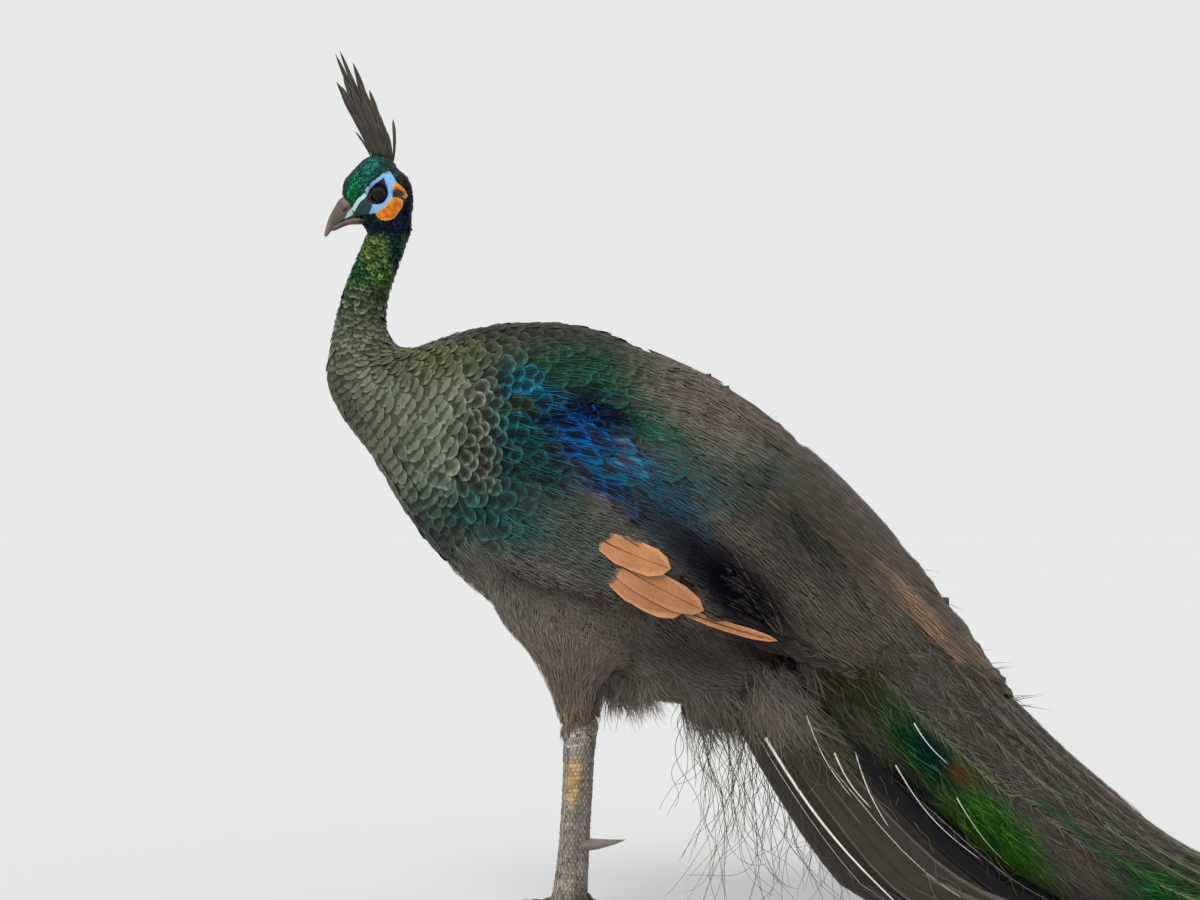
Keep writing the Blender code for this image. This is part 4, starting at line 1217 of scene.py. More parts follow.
def makeTail():
    form = tailFeathers
    count, rows = form["count"], form["rows"]
    share = np.linspace(0, 1, rows)
    order = np.arange(count) / (count - 1)   # from the uppermost to the lowest
    t = between(form["start"], (form["end"] - form["shorter"] * np.abs(order - 0.35))[:, None], share)
    half = form["halfWidth"] * (0.45 + 0.55 * share) * np.minimum(1, 1.3 * np.sqrt(np.maximum(1 - share ** 5, 0)))
    half = np.tile(half, (count, 1))
    high = 1 - ramp(order[:, None], 0.15, 0.4)   # the uppermost are blue-black
    for side, sign in sides.items():
        around = sign * np.pi * (0.06 + 0.88 * order)
        place, normal = tailGround.below(tailTract, t, np.repeat(around[:, None], rows, 1))
        paths = place + normal * (1.0 + 0.5 * (count - np.arange(count))[:, None] * share)[..., None]
        paths[..., 2] = np.maximum(paths[..., 2], 1.2)
        shades = varied(between(colour(62, 56, 50), colour(6, 7, 18), high), 0.2)
        rims = varied(between(colour(88, 82, 76), colour(12, 14, 34), high), 0.15)
        longVanes("tail_feathers_" + side, paths, normal, half, shades, rims, 0.2, flightPaint, "dark_feathers", 0.14,
                  *(["tail"] if side == "left" else []))
        quillsOn("tail_quills_" + side, paths[1::3], normal[1::3], 0.9, (176, 172, 166), "dark_feathers", 2.2)


def smoothed(share, out):   # gentle bows through the heights that were found, in place of their steps
    out = np.where(out < 0, out.max(1, keepdims=True), out)
    return polynomial.polyval(share, polynomial.polyfit(share, out.T, 2))


wispForm = {"hanging": 150, "crossing": 130, "rows": 28, "halfWidth": 0.32, "ahead": 304, "rootX": (322, 446),
            "rootY": 44, "rootZ": ((320, 360, 400, 446), (206, 196, 186, 150)), "crossingLength": (30, 95),
            "heading": (-84, -52)}


def makeWisps():
    # long loose barbs: some hang curling from the vent and the root of the train, some cross its side
    count, crossing, rows = (wispForm[key] for key in ("hanging", "crossing", "rows"))
    every = count + crossing
    share = np.linspace(0, 1, rows)
    box = (wispForm["rootX"], (-wispForm["rootY"], wispForm["rootY"]), (0, 1))
    root = np.stack([chance.uniform(*ends, count) for ends in box], -1)
    root[:, 2] = np.interp(root[:, 0], *wispForm["rootZ"]) + 14 * root[:, 2]
    far = chance.uniform(0, 1, crossing)
    over = np.stack([430 + 190 * far, chance.choice([-1.0, 1.0], crossing) * 60, 226 - 190 * far], -1)
    over[:, [0, 2]] += chance.normal(0, 20, (crossing, 2))
    root = np.concatenate([root, over])
    hung = np.arange(every) < count
    length = chance.uniform(0.35, 1.15, every) * (root[:, 2] - 4)
    length = np.where(hung, length, chance.uniform(*wispForm["crossingLength"], every))
    heading = np.where(hung, *wispForm["heading"]) + chance.normal(0, 7, every)
    bend = chance.uniform(8, 34, (every, 1)) * np.sin(share * chance.uniform(4, 15, (every, 1))
                                                      + chance.uniform(0, 6.3, (every, 1)))
    bend += chance.normal(0, 45, (every, 1)) * share ** 3
    heading = np.radians(heading[:, None] + bend)
    step = (length / (rows - 1))[:, None]
    x = root[:, :1] + np.cumsum(np.cos(heading) * step, 1)
    ahead = wispForm["ahead"]
    x = np.where(x < ahead, ahead + 0.25 * (x - ahead), x)   # none reaches far ahead of the vent
    z = np.maximum(root[:, 2:] + np.cumsum(np.sin(heading) * step, 1), 1.0)
    y = root[:, 1:2] + chance.normal(0, 9, (every, 1)) * share
    sign = np.sign(root[~hung, 1:2])
    out = outline(x[~hung], z[~hung], sign, trainGround, tailGround)
    y[~hung] = sign * (smoothed(share, out) + chance.uniform(5, 10, (crossing, 1)))
    paths = np.stack([x, y, z], -1)
    green = chance.uniform(0, 1, (every, 1)) < np.where(hung, 0.3, 0.65)[:, None]
    shades = varied(np.where(green, colour(108, 112, 62), colour(92, 87, 76)), 0.25)
    forward = np.gradient(paths, axis=1)
    side = unit(np.cross(forward, [0.0, -1.0, 0.0]))
    half = np.tile(wispForm["halfWidth"] * (1 - share * 0.5), (every, 1))
    strandPiece("wisps", paths, side, np.cross(side, unit(forward)), half, chance.uniform(0, 1, (every, 2)), shades,
                0.0, barbPaint, "train_feathers")


def makeLooseQuills():
    form = np.array(paleQuills)
    share = np.linspace(0, 1, 12)
    x, z = drawn(form, share)
    x = x - form[:, 4:5] * np.sin(np.pi * share)
    z = z - form[:, 4:5] * 0.6 * np.sin(np.pi * share)
    for side, sign in sides.items():
        out = outline(x, z, sign, trainGround, tailGround, ground)
        paths = np.stack([x, sign * (smoothed(share, out) + 13.0), z], -1)
        normals = np.tile([0.0, sign, 0.0], (*x.shape, 1))
        across = unit(np.cross(np.gradient(paths, axis=1), normals))
        strandPiece("pale_quills_" + side, paths, across, normals, form[:, 5:6] * (0.8 - 0.5 * share),
                    rowHome(len(form)), shadesOf(len(form), (232, 229, 220), 0.06), 0.0, quillPaint, "train_feathers")


bedPaint = featherPaint("bed", 0.7, **{**barbless, "metal": 0.1}, bump=0.4, mottle=0.5)
trainBed = makeBed("train_bed", trainMarks, trainBase)
tailBed = makeBed("tail_bed", (), ((44, 40, 36), (50, 46, 42), 0.0))
trainGround, tailGround = Ground(trainBed), Ground(tailBed)
finished(trainBed, bedPaint, "train_feathers", *trainShape["train_bed"][0])
finished(tailBed, bedPaint, "dark_feathers")
grown("train_fuzz", trainTract, trainFuzz, lambda places, low: (low[:, 2] > 3) & (low[:, 0] > 396), trainGround)
grown("train_fuzz_end", trainTract, trainFuzz, None, trainGround, (-1.9, 1.9), span=(4.4, 10.9), spacing=7.0)
makeEyePlumes()
makeTail()
makeWisps()
makeLooseQuills()
print("train and tail")


# the head: bare face, lids, eyes, bill, crown and crest
headMarks = (
    (34, 668, 27, 10.5, 57, 0.35, (10, 58, 50), (36, 112, 98), 0.7),       # bright green of the crown
    (24, 652, 12, 6, 70, 0.5, (6, 74, 40), (20, 130, 80), 0.7),
    (62, 684, 20, 9, -42, 0.5, (28, 42, 40), (48, 66, 62), 0.2),
    (49, 672, 14, 5, 40, 0.5, (22, 48, 44), (36, 70, 64), 0.3),
    (77, 654, 11, 34, 4, 0.4, (16, 12, 15), (30, 24, 28), 0.1),           # purplish black nape
    (72, 634, 8, 10, 0, 0.6, (8, 10, 26), (12, 22, 48), 0.4),
    (46, 624, 36, 6, 0, 0.6, (6, 18, 34), (8, 44, 62), 0.6),
    (33, 633, 12, 4, 10, 0.6, (12, 16, 18), (20, 30, 30), 0.2),
)
headBase = ((26, 46, 40), (40, 72, 62), 0.4)
crownPlumage = {
    "spacing": 1.75, "span": (0.03, 6.95), "overlap": 2.5, "breadth": 1.5, "varied": 0.2, "unruly": 10,
    "lift": (0.15, 0.75), "profile": scaleProfile, "pitch": (1.2, 2.6),
}
crestPlumes = (   # root (x, z), tip (x, z), half width, way it leans out to the side at the tip
    (43, 688, 27, 712, 1.1, 2.0), (44, 689, 23, 737, 1.9, -2.6), (45, 689, 10, 757, 2.7, 3.0),
    (46, 690, 15, 752, 2.6, -4.2), (47, 690, 9, 782, 2.4, 1.0), (48, 690, 13, 785, 2.3, -1.4),
    (49, 690, 16, 777, 2.7, 3.0), (50, 690, 20, 768, 2.9, -3.4), (51, 690, 25, 774, 2.8, 0.6),
    (52, 690, 27, 764, 2.9, 3.6), (53, 690, 31, 757, 2.9, -2.2), (54, 689, 34, 750, 2.9, 2.0),
    (55, 689, 40, 749, 2.6, -3.8), (56, 688, 42, 741, 2.7, 1.6), (57, 688, 47, 730, 2.7, -1.0),
    (58, 687, 50, 722, 2.4, 3.0), (60, 686, 54, 714, 1.9, -2.6), (61, 685, 61, 723, 1.6, 1.0),
    (49, 690, 24, 750, 3.0, -4.6), (51, 690, 28, 744, 3.0, 4.6), (53, 690, 33, 742, 3.0, -4.2),
    (47, 690, 20, 738, 2.8, 4.8), (55, 689, 40, 732, 2.9, 4.4), (57, 688, 45, 720, 2.6, -4.6),
    (46, 690, 16, 761, 3.0, 2.4), (48, 690, 19, 757, 3.2, -1.4), (45, 689, 14, 747, 2.9, 0.4),
    (52, 690, 33, 752, 2.8, 1.8), (46, 690, 25, 728, 2.6, -4.8), (50, 690, 34, 724, 2.8, 3.8),
    (59, 687, 52, 706, 2.0, 4.0),
)
billBase = {"bill_upper": ((17, 653), (27, 632)), "bill_lower": ((33, 632), (34, 622))}
eyeForm = {"radius": 7.1, "opening": 4.3, "pupil": 2.2, "iris": 4.6, "gaze": (-1.9, -2.6)}
lidForm = {"angles": 96, "rows": 16, "turned": 24, "outer": (46, 38, 52), "inner": (22, 15, 21), "thick": 0.45}


class FaceMap:   # places on the side of the head in a shader, in millimetres from the eye
    def __init__(self, look, waver):
        x, _, z = look.split(look.place())
        self.look = look
        self.across = x * 1000 + (-billTip * 1000 - eyePlace[0]) + (look.noise(330.0) * waver - waver / 2)
        self.up = z * 1000 - eyePlace[2] + (look.noise(290.0) * waver - waver / 2)

    def patches(self, outlines, soft=0.35):   # 1 inside any of the patches, in millimetres of softness
        inside = None
        for outline in outlines:
            middle = np.mean(outline, axis=0)
            depth = None
            for (x0, z0), (x1, z1) in zip(outline, outline[1:] + outline[:1]):
                long = math.hypot(x1 - x0, z1 - z0)
                a, b = (z0 - z1) / long, (x1 - x0) / long
                c = -(a * (x0 - eyePlace[0]) + b * (z0 - eyePlace[2]))
                if a * (middle[0] - eyePlace[0]) + b * (middle[1] - eyePlace[2]) + c < 0:
                    a, b, c = -a, -b, -c
                edge = self.across * a + self.up * b + c
                depth = edge if depth is None else depth.min(edge)
            inside = depth if inside is None else inside.max(depth)
        return self.look.step(inside, -soft, soft)

    def oval(self, mark, soft):
        x, z, halfLength, halfWidth, turn = mark
        c, s = math.cos(math.radians(turn)), math.sin(math.radians(turn))
        dx, dz = self.across - x, self.up - z
        reach = (((dx * c + dz * s) * (1 / halfLength)) ** 2 + ((dz * c - dx * s) * (1 / halfWidth)) ** 2) ** 0.5
        return self.look.step(reach, 1 + soft, 1 - soft)


def facePaint(look, shade, bare):   # the bare face over another colour
    face = FaceMap(look, 1.3)
    veins, blotch = look.noise(900.0, 4.0), look.noise(260.0)
    dark = look.mix(blotch, colour(12, 36, 44), colour(26, 62, 64))
    skyBlue = look.mix(veins, colour(82, 140, 208), colour(146, 196, 238))
    skyBlue = look.mix(look.step(blotch, 0.46, 0.62) * 0.6, skyBlue, colour(132, 186, 204))
    mint = look.mix(blotch, colour(150, 196, 196), colour(204, 230, 222))
    warm = look.mix(look.step(blotch, 0.4, 0.6), colour(222, 132, 20), colour(196, 92, 10))
    warm = look.mix(face.patches(faceMarks["orange"], 2.6) ** 2.0, colour(226, 166, 58), warm)
    shade = look.mix(bare, shade, colour(16, 40, 44))
    for patches, soft, tone in ((faceMarks["wedge"], 0.5, dark), (faceMarks["blue"], 0.5, skyBlue),
                                (faceMarks["pale"], 0.35, mint), (faceMarks["orange"], 0.35, warm),
                                (lensPatch, 0.35, colour(46, 40, 56))):
        shade = look.mix(face.patches(patches, soft) * bare, shade, tone)
    return look.mix(face.oval(earMark, 0.3) * bare, shade, colour(58, 40, 32)), veins


def skinPaint():
    look = Finish("skinPaint", Specular_IOR_Level=0.3)
    shade, veins = facePaint(look, look.attribute("tint"), look.attribute("bare", "Fac"))
    look.toned(shade, veins * 0.5 + 0.72)
    look.to("Roughness", veins * 0.2 + 0.4)
    look.bump(look.noise(650.0, 2.0) * 0.6 + veins * 0.4, 0.5, 0.0006)
    return look.material


def makeFaceSkin():
    placed = birdPlace(coordinates(skin))
    tone, _, gloss = painted(placed)
    headTone = painted(placed, headMarks, headBase)[0]
    onHead = (placed[:, 2] > 630)[:, None]
    storeColours(skin.data, "tint", np.where(onHead, headTone * 0.55, tone * 0.8), gloss)
    layer = skin.data.attributes.new("bare", "FLOAT", "POINT")
    layer.data.foreach_set("value", bareFace(placed).astype(np.float32))
    finished(skin, skinPaint(), "bare_skin", *skinShape["nodes"])


def makeEyes():
    look = Finish("eyeball", Specular_IOR_Level=0.12, Coat_Weight=0.12, Coat_Roughness=0.03)
    face = FaceMap(look, 0.0)
    reach = ((face.across - eyeForm["gaze"][0]) ** 2 + (face.up - eyeForm["gaze"][1]) ** 2) ** 0.5
    streaks = look.noise(1400.0)
    iris = look.mix(streaks, colour(18, 9, 8), colour(38, 21, 16))
    iris = look.mix(look.step(reach, 3.2, 4.4), iris, colour(16, 8, 7))
    shade = look.mix(look.step(reach, eyeForm["pupil"] - 0.15, eyeForm["pupil"] + 0.15), (0.003, 0.003, 0.003), iris)
    white = look.step(reach, eyeForm["iris"], eyeForm["iris"] + 0.5)
    look.to("Base Color", look.mix(white, shade, (0.012, 0.009, 0.01)))
    look.to("Roughness", streaks * 0.05 + 0.1)
    for side, sign in sides.items():
        deselectAll()
        centre = world([eyePlace[0], sign * abs(eyePlace[1]), eyePlace[2]])
        bpy.ops.mesh.primitive_uv_sphere_add(segments=48, ring_count=32, radius=eyeForm["radius"] * mm,
                                             location=centre, rotation=(math.pi / 2, 0, 0))
        ball = bpy.context.object
        ball.name = "eyeball_" + side
        bpy.ops.object.transform_apply(location=True, rotation=True, scale=True)
        form = bmesh.new()   # the same order of faces each time
        form.from_mesh(ball.data)
        form.faces.sort(key=lambda f: f.calc_center_median().dot((3.7, 1.0, 61.3)))
        form.to_mesh(ball.data)
        form.free()
        shadeSmooth(ball, 180)
        finished(ball, look.material, "eye", "eye_" + side)


def makeLids():
    look = Finish("lidPaint", Specular_IOR_Level=0.18)
    wrinkles = look.noise(1300.0, 4.0)
    look.toned(look.attribute("tint"), wrinkles * 0.7 + 0.6)
    look.to("Roughness", wrinkles * 0.2 + 0.38)
    look.bump(wrinkles, 0.6)
    angles, rows = lidForm["angles"], lidForm["rows"]
    theta = np.linspace(0, 2 * math.pi, angles, endpoint=False)
    gaze = eyeForm["gaze"]
    line = np.array(lidsLine) - (eyePlace[0] + gaze[0], eyePlace[2] + gaze[1])
    outer = np.interp(theta, np.arctan2(line[:, 1], line[:, 0]), np.hypot(*line.T), period=2 * math.pi) + 0.4
    turned = theta - math.radians(lidForm["turned"])
    opening = eyeForm["opening"] * (0.9 + 0.32 * np.abs(np.cos(turned)) ** 4 - 0.06 * np.sin(turned))
    share = np.concatenate([np.linspace(0, 1, rows), [1.0, 0.45]])   # inwards over the eyeball, then back under it
    count = len(share)
    depth = np.repeat(share, angles)[:, None]
    tone = between(colour(*lidForm["outer"]), colour(*lidForm["inner"]), ramp(depth, 0.3, 0.9))
    tone = tone * (1 - 0.35 * ramp(depth, 0.0, 0.25) * (1 - ramp(depth, 0.25, 0.55)))
    tone = tone * (1 - 0.35 * np.tile(ramp(np.cos(theta + 0.5), 0.2, 0.9), count)[:, None])   # darker behind
    uv = np.stack([np.tile(theta / 6.3, count), np.repeat(np.linspace(0, 1, count), angles)], -1)
    index = np.arange(count * angles).reshape(count, angles)
    beside = np.roll(index, -1, 1)
    quads = np.stack([index, beside, np.roll(beside, -1, 0), np.roll(index, -1, 0)], -1).reshape(-1, 4)
    for side, sign in sides.items():
        points = []
        for row, s in enumerate(share):
            reach = between(outer, opening, s)
            dx, dz = reach * np.cos(theta) + gaze[0], reach * np.sin(theta) + gaze[1]
            base = outline(eyePlace[0] + dx, eyePlace[2] + dz, sign, ground)
            front = np.sqrt(np.maximum(eyeForm["radius"] ** 2 - dx ** 2 - dz ** 2, 1.0))
            ball = abs(eyePlace[1]) + front + lidForm["thick"]
            blend = ramp(s, 0.0, 0.75)
            out = base * (1 - blend) + ball * blend
            out += 0.3 * np.sin(s * 17 + 0.6 * np.sin(theta * 2)) * (s > 0.12) * (s < 0.85) * np.sin(np.pi * s)
            out += 0.45 * np.exp(-((s - 0.88) / 0.08) ** 2) - 0.5 * (s == 0) + 0.35 * (s > 0) * (s < 0.3)
            if row == rows:
                out = ball - 2.0
            if row == rows + 1:
                out = np.minimum(base, ball) - 2.4
            points.append(np.stack([eyePlace[0] + dx, sign * out, eyePlace[2] + dz], -1))
        lids = meshOf("lids_" + side, np.concatenate(points), [quads[:, ::-1] if side == "left" else quads], uv, uv)
        storeColours(lids.data, "tint", tone)
        shadeSmooth(lids, 180)
        finished(lids, look.material, "bare_skin")


billBehind = (((24.6, 641), (31, 652), (45, 650), (45, 622), (33, 622), (30, 630), (26.4, 636)),)
billShape = {"voxel": 0.00042, "smoothing": 16, "nostril": 1.1, "cere": 0.45, "base": 3.4}


def makeBill():
    look = Finish("billPaint", Specular_IOR_Level=0.4)
    along = (look.split(look.place())[0] - billTip) * 1000
    grain, blotch = look.noise(700.0, 4.0), look.noise(160.0)
    face = FaceMap(look, 0.4)
    behind = face.patches(billBehind, 1.2)
    gape = face.patches(faceMarks["gape"], 0.5)
    tone = look.mix(look.step(along, 0.0, 8.0), colour(112, 102, 92), colour(90, 80, 70))
    for share, other in ((look.step(along, 11.0, 17.0), look.mix(blotch, colour(54, 45, 40), colour(104, 91, 81))),
                         (gape, colour(92, 82, 66)), (behind * (1 - gape), colour(14, 32, 36)),
                         (face.patches(faceMarks["pale"]), colour(178, 210, 204)),
                         (face.oval(billNostril, 0.4), colour(14, 11, 10))):
        tone = look.mix(share, tone, other)
    look.toned(tone, grain * 0.6 + blotch * 0.5 + 0.45)
    look.to("Roughness", grain * 0.2 + 0.3)
    look.bump(grain * 0.7 + blotch * 0.3, 0.3)
    for name in billBase:
        bill = formed(name + "_horn", [name], billShape["voxel"], billShape["smoothing"])
        normals, placed = coordinates(bill, "normal"), birdPlace(coordinates(bill))
        start, end = (np.array(p, float) for p in billBase[name])
        along = (end - start) / np.linalg.norm(end - start)
        back = np.array([-along[1], along[0]])
        back = back if back[0] > 0 else -back
        depth = (placed[:, 0] - start[0]) * back[0] + (placed[:, 2] - start[1]) * back[1]
        nostril, cere = (softMark(placed, *mark, soft, fromEye) for mark, soft in ((billNostril, 0.5), (billCere, 0.4)))
        hollow = nostril * billShape["nostril"] - cere * billShape["cere"]
        placed[:, [0, 2]] += back * (billShape["base"] * ramp(depth, -3.0, 0.0))[:, None]   # reaches into the face
        if name == "bill_lower":
            placed[:, 2] += 2.0 + 0.5 * ramp(placed[:, 0], 12, 24)   # closed against the upper half
            placed[:, 1] *= 0.94
            ahead = ramp(-placed[:, 0], -22, -9)
            placed += ahead[:, None] * (-3.6, 0, -2.6)
            hollow -= 0.7 * ahead
        else:
            placed = placed * 0.5 + nudged(placed) * 0.5
            hollow -= 0.9 * ramp(-placed[:, 0], -13, -3)   # a blunt tip
        setCoordinates(bill, world(placed) - normals * (hollow * mm)[:, None])
        shadeSmooth(bill, 180)
        finished(bill, look.material, "horn", name)


def makeCrown():
    places, low = latticeOn(headTract, crownPlumage, allRound, 1.1)
    clear = (low[:, 0] < 26) & (low[:, 2] < 636) | (low[:, 0] < 14.8)   # none over the bill
    places = places[~bareFace(low) & ~clear]
    path, across, normal, half, home, root = feathersOn(headTract, places, crownPlumage)
    rough = ramp(root[:, 0], 60, 72) * chance.uniform(0, 1.8, len(root))   # the nape is ragged
    path = path + normal * (rough[:, None] * np.linspace(0, 1, path.shape[1]))[..., None]
    centre, rim, gloss = painted(root, headMarks, headBase)
    slate = (0.85 * (1 - ramp(np.abs(root[:, 1]), 3.5, 7.5)))[:, None]   # a dull line down the middle of the crown
    # the strong feather-to-feather unevenness is partly their own tone, partly painted glints
    tints = mottled(between(centre, colour(30, 36, 36), slate), between(rim, colour(52, 60, 58), slate), gloss, 0.6,
                    0.1, 0.1)
    piece = vaneMesh("crown_plumage", path, across, normal, half, home, tints, 0.2, 0.06)
    finished(piece, crownPaint, "crown_feathers")


def makeCrest():
    form = np.array(crestPlumes, float)
    form[:, 1] -= 3   # rooted in the skin
    count, rows = len(form), 14
    share = np.linspace(0, 1, rows)
    x, z = drawn(form, share)
    x = x + 2.5 * np.sin(np.pi * share) * 0.6
    y = form[:, 5:6] * 0.9 * (0.3 + 0.7 * share) + 0.8 * np.sin(share * 5 + form[:, :1])
    paths = np.stack([x, y, z], -1)
    half = form[:, 4:5] * np.interp(share, (0, 0.2, 0.5, 0.8, 0.93, 1), (0.3, 0.75, 0.95, 1.0, 0.55, 0))
    lean = np.repeat(chance.normal(0, 0.35, (count, 1)), rows, 1)
    normals = unit(np.stack([np.sin(lean), -np.cos(lean), np.zeros_like(x)], -1))
    shades, rims = (shadesOf(count, tone, 0.12) for tone in ((68, 63, 59), (92, 86, 80)))
    rims[-8:] *= np.array([0.85, 1.05, 1.0])   # a little greener
    longVanes("crest_plumes", paths, normals, half, shades, rims, 0.15, flightPaint, "crown_feathers", 0.22, "crest",
              thick=0.2)
    quillsOn("crest_shafts", paths, normals, 0.42, (62, 56, 50), "crown_feathers", 0.25)


# outline here is painted shade round each crown feather's edge
crownPaint = featherPaint("crownFeathers", 0.4, (0.45, 0.9), barbs=8, metal=0.5, outline=0.5, shaft=0.0)
makeFaceSkin()
makeEyes()
makeLids()
makeBill()
makeCrown()
makeCrest()
print("head")


# legs and feet
shankRows = (   # front edge, back edge, half width, distance from the middle plane
    (211, 184, 239, 185, 10.5, 37), (214, 171, 237, 174, 9.5, 37.5), (215, 152, 233, 154, 7.0, 38.5),
    (214, 120, 231, 121, 6.4, 41), (211.5, 80, 228.5, 79, 6.4, 43.5), (208, 46, 227, 44, 7.6, 45),
    (203, 22, 226, 20, 9.5, 46), (202, 9, 226, 8, 9.5, 46),
)
footCentre = (213, 46)
toeForms = (   # name, length, heading, where the scutes begin
    ("inner", 45.0, 37, 9.0), ("middle", 66.0, -4, 9.5), ("outer", 50.0, -45, 9.0), ("hind", 20.0, 20, 11.0),
)
scutes = {
    "overlap": 1.12, "breadth": 0.98, "varied": 0.06, "unruly": 3, "lift": (0.05, 0.5), "pitch": (1.5, 9),
    "profile": ((0, 0.8), (0.15, 0.98), (0.7, 1.0), (0.92, 0.8), (1.0, 0.4)),
}
toeScutes = {"spacing": 2.7, "length": 3.6, "halfWidth": 4.0, "narrower": 1.3}
legShape = {"voxel": 0.0011, "smoothing": 7, "depth": 0.0009, "clawVoxel": 0.0005}
shankScutes = (   # span, around, spacing, aspect: front, back and heel
    ((1.6, 6.7), (-1.15, 1.15), 6.4, 0.95), ((1.6, 6.7), (1.15, 5.13), 3.6, 1.1), ((0.4, 1.6), allRound, 2.2, 1.15),
)
cuffPlumage = {   # the last small feathers, which end over the scales of the heel
    **softFeather, "camber": 0.15, "spacing": 2.6, "span": (4.3, 6.6), "overlap": 3.0, "breadth": 1.5,
    "varied": 0.25, "unruly": 9, "lift": (0.4, 1.2), "pitch": (2, 3.4),
}
legMarks = (
    (224, 131, 21, 7.0, 86, 0.5, (162, 133, 90), (208, 182, 138), 0.0),   # painted golden sheen down the front of the shank
    (228, 170, 16, 15, 0, 0.6, (136, 128, 119), (200, 193, 184), 0.0),     # speckled pale heel
    (214, 14, 60, 14, 0, 0.6, (92, 84, 74), (128, 118, 104), 0.0),
)
legBase = ((116, 107, 98), (172, 163, 152), 0.0)


def hornPaint():
    look = Finish("hornPaint", Specular_IOR_Level=0.4)
    grain = look.noise(500.0, 4.0)
    look.to("Base Color", look.mix(grain, colour(98, 90, 80), colour(152, 142, 128)))
    look.to("Roughness", grain * 0.2 + 0.32)
    look.bump(grain, 0.3)
    return look.material


def makeScutes(side, on):
    sign, shift = sides[side], legShift[side]
    tract = Tract(shankRows, sign, shift=shift)
    plates = []
    for span, around, spacing, aspect in shankScutes:
        places = latticeOn(tract, {"span": span, "spacing": spacing}, around, aspect, 0.05)[0]
        plates.append(feathersOn(tract, places, scutes, on)[:5])
    rows = np.array(scutes["profile"])
    centre = np.array([footCentre[0] + shift, sign * footCentre[1], 0.0])
    for name, length, heading, start in toeForms:
        turn = math.radians(180 + sign * heading if name != "hind" else sign * heading)
        ahead = np.array([math.cos(turn), math.sin(turn), 0.0])
        gone = np.arange(start - 3, start + length - 1, toeScutes["spacing"])   # where each plate begins
        guess = centre + ahead * (gone[:, None, None] + toeScutes["length"] * rows[None, :, :1]) + np.array([0, 0, 2.0])
        up = np.broadcast_to(np.array([0.0, 0.0, 1.0]), guess.shape)
        high = on.heights(guess, up, 30.0)
        path = guess + up * (np.where(high < -50, 3.0, high) + 0.1 + 0.4 * rows[:, 0] - 0.9)[..., None]
        half = (toeScutes["halfWidth"] - toeScutes["narrower"] * (gone - start) / length)[:, None] * rows[:, 1]
        home = np.stack([gone / 80, np.full(len(gone), 0.1 + 0.1 * len(plates))], -1)
        plates.append((path, *framed(path, up), half, home))
    path, across, normal, half, home = (np.concatenate(part) for part in zip(*plates))
    together = 0.16 + 0.34 * ramp(path[:, 2, 2:], 150, 168)   # the heel is speckled
    tints = mottled(*painted(path[:, 2], legMarks, legBase), together, 0.08, 0.03)
    camber = np.where(path[:, :1, 2] < 18, 0.6, 0.2)[:, :, None]   # arched on the toes
    finished(vaneMesh("scutes_" + side, path, across, normal, half, home, tints, camber, 0.25), scutePaint, "bare_skin")


def makeClaws(side):   # and the spur
    for name in ["spur"] + ["claw_" + toe[0] for toe in toeForms]:
        node = "%s_%s" % (name, side)
        horn = formed(node + "_horn", [node], legShape["clawVoxel"], 6)
        if name != "spur":   # its root reaches back into the toe
            placed = birdPlace(coordinates(horn))
            centre = np.array([footCentre[0] + legShift[side], sides[side] * footCentre[1]])
            ahead = unit(placed[:, :2].mean(0) - centre)
            gone = (placed[:, :2] - centre) @ ahead
            placed[:, :2] -= ahead * (5.0 * (1 - ramp(gone - gone.min(), 0, 4.0)))[:, None]
            setCoordinates(horn, world(placed))
        shadeSmooth(horn, 180)
        finished(horn, clawPaint, "horn", node)


def makeLeg(side):
    shift = legShift[side]
    nodes = ["shank_" + side] + ["toe_%s_%s" % (toe[0], side) for toe in toeForms]
    leg = formed("leg_skin_" + side, nodes, legShape["voxel"], legShape["smoothing"], swell)
    points, placed = coordinates(leg), birdPlace(coordinates(leg))
    points -= coordinates(leg, "normal") * legShape["depth"]
    middle = world([225 + shift, sides[side] * 37, 180])   # the top narrows into the thigh
    points[:, :2] = between(points[:, :2], middle[:2], 0.4 * ramp(placed[:, 2:], 171, 184))
    setCoordinates(leg, points)
    stained(leg, legMarks, legBase)
    shadeSmooth(leg, 180)
    finished(leg, legPaint, "bare_skin", *nodes)
    makeScutes(side, Ground(leg))

    def above(height):   # the last feathers end on a slant over the heel
        return lambda places, low: (low[:, 2] > height + 0.5 * (low[:, 0] - 215 - shift)
                                    + chance.uniform(-5, 5, len(low)))

    both = Ground(leg, skin)
    grown("cuff_plumage_" + side, thighTracts[side], cuffPlumage, above(178), both)
    grown("cuff_down_" + side, thighTracts[side], bellyDown, above(177), both, span=(4.5, 6.4), spacing=1.8)
    makeClaws(side)


legPaint = featherPaint("legSkin", 0.5, bump=0.5, **barbless)
scutePaint = featherPaint("scutePaint", 0.45, (0.55, 0.95), bump=0.5, **barbless)
clawPaint = hornPaint()
for side in sides:
    makeLeg(side)
print("legs")


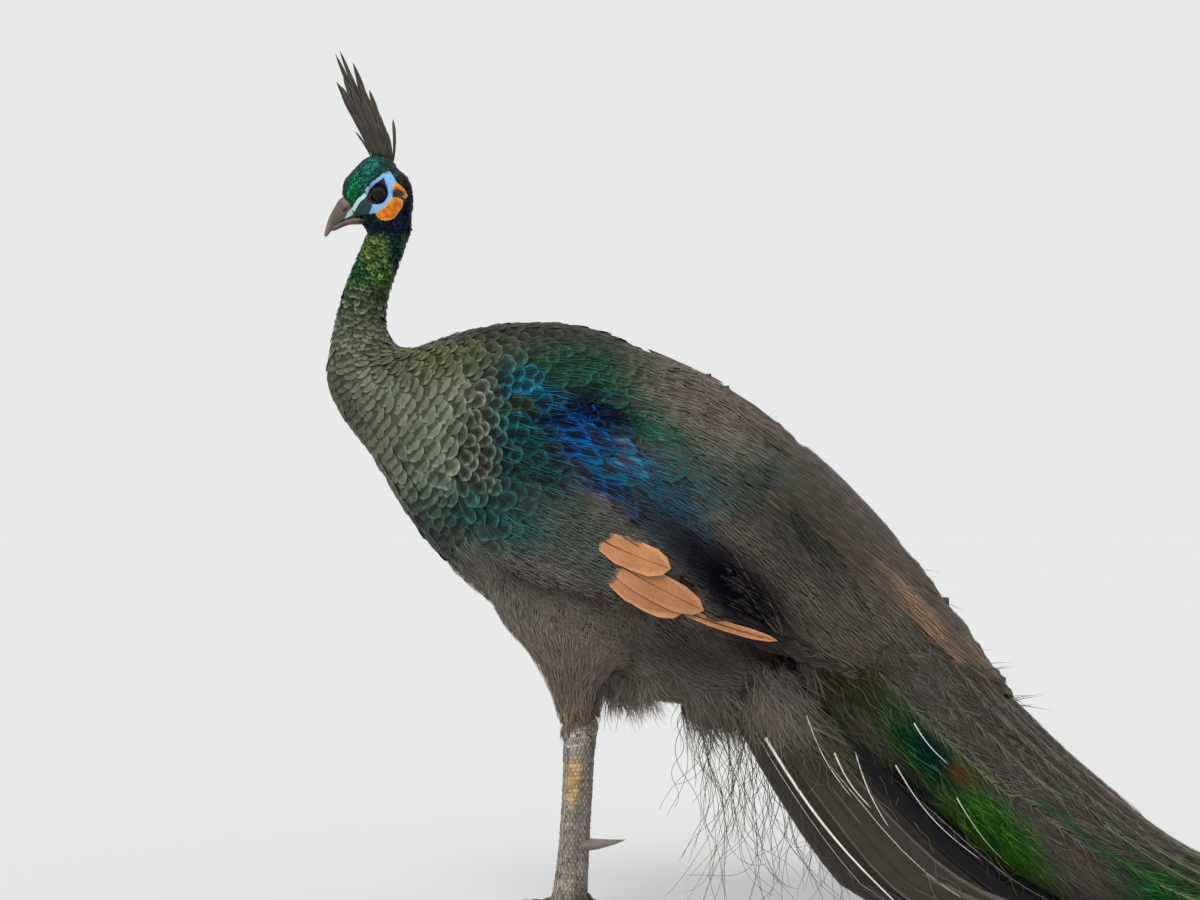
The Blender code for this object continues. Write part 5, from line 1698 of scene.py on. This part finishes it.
# soft fluff under the vent and at the lower end of the thighs
fluffTufts = (   # middle (x, z) of the roots, spread, count, length, way they hang (x, z), colour
    ((272, 218), (22, 9), 1500, 33, (0.3, -1.0), (134, 125, 117)),
    ((302, 222), (18, 8), 500, 18, (0.5, -1.0), (112, 103, 95)),
    ((356, 202), (36, 14), 2200, 42, (0.6, -1.0), (128, 119, 112)),
    ((404, 210), (30, 30), 2200, 44, (0.6, -1.0), (126, 117, 110)),
    ((436, 176), (26, 24), 800, 44, (0.7, -1.0), (90, 90, 72)),
)


def makeFluff():
    share = np.array([0.0, 0.35, 0.7, 1.0])
    paths, shades = [], []
    for middle, spread, count, length, hang, tone in fluffTufts:
        x, z = (middle[k] + chance.uniform(-1, 1, count) * spread[k] for k in (0, 1))
        sign = chance.choice([-1.0, 1.0], count)
        out = outline(x, z, sign, ground, tailGround, trainGround)
        root = np.stack([x, sign * (np.clip(out, 4, 80) + 7 * ramp(x, 375, 400)), z], -1)
        aim = unit(np.stack([hang[0] + chance.normal(0, 0.35, count), sign * chance.normal(0.12, 0.25, count),
                             hang[1] + chance.normal(0, 0.25, count)], -1))
        reach = length * (0.35 + 0.95 * chance.uniform(0, 1, count) ** 1.6)
        curl = np.sin(share * chance.uniform(3, 8, (count, 1)) + chance.uniform(0, 6.3, (count, 1))) * share * 2.6
        line = root[:, None] + aim[:, None] * (reach[:, None] * share)[..., None]
        line[..., 0] += curl
        line[..., 1] += sign[:, None] * 2.0 * np.sin(np.pi * share)
        paths.append(line)
        shades.append(shadesOf(count, tone, 0.25))
    paths = np.concatenate(paths)
    every = len(paths)
    normals = np.tile([0.0, -1.0, 0.0], (every, 4, 1))
    side = unit(np.cross(np.gradient(paths, axis=1), normals))
    half = np.tile(0.34 * (1 - 0.75 * share), (every, 1))
    strandPiece("vent_fluff", paths, side, normals, half, chance.uniform(0, 1, (every, 2)), np.concatenate(shades),
                0.0, barbPaint, "dark_feathers")


makeFluff()
print("fluff")


bpy.context.view_layer.update()
print("done")
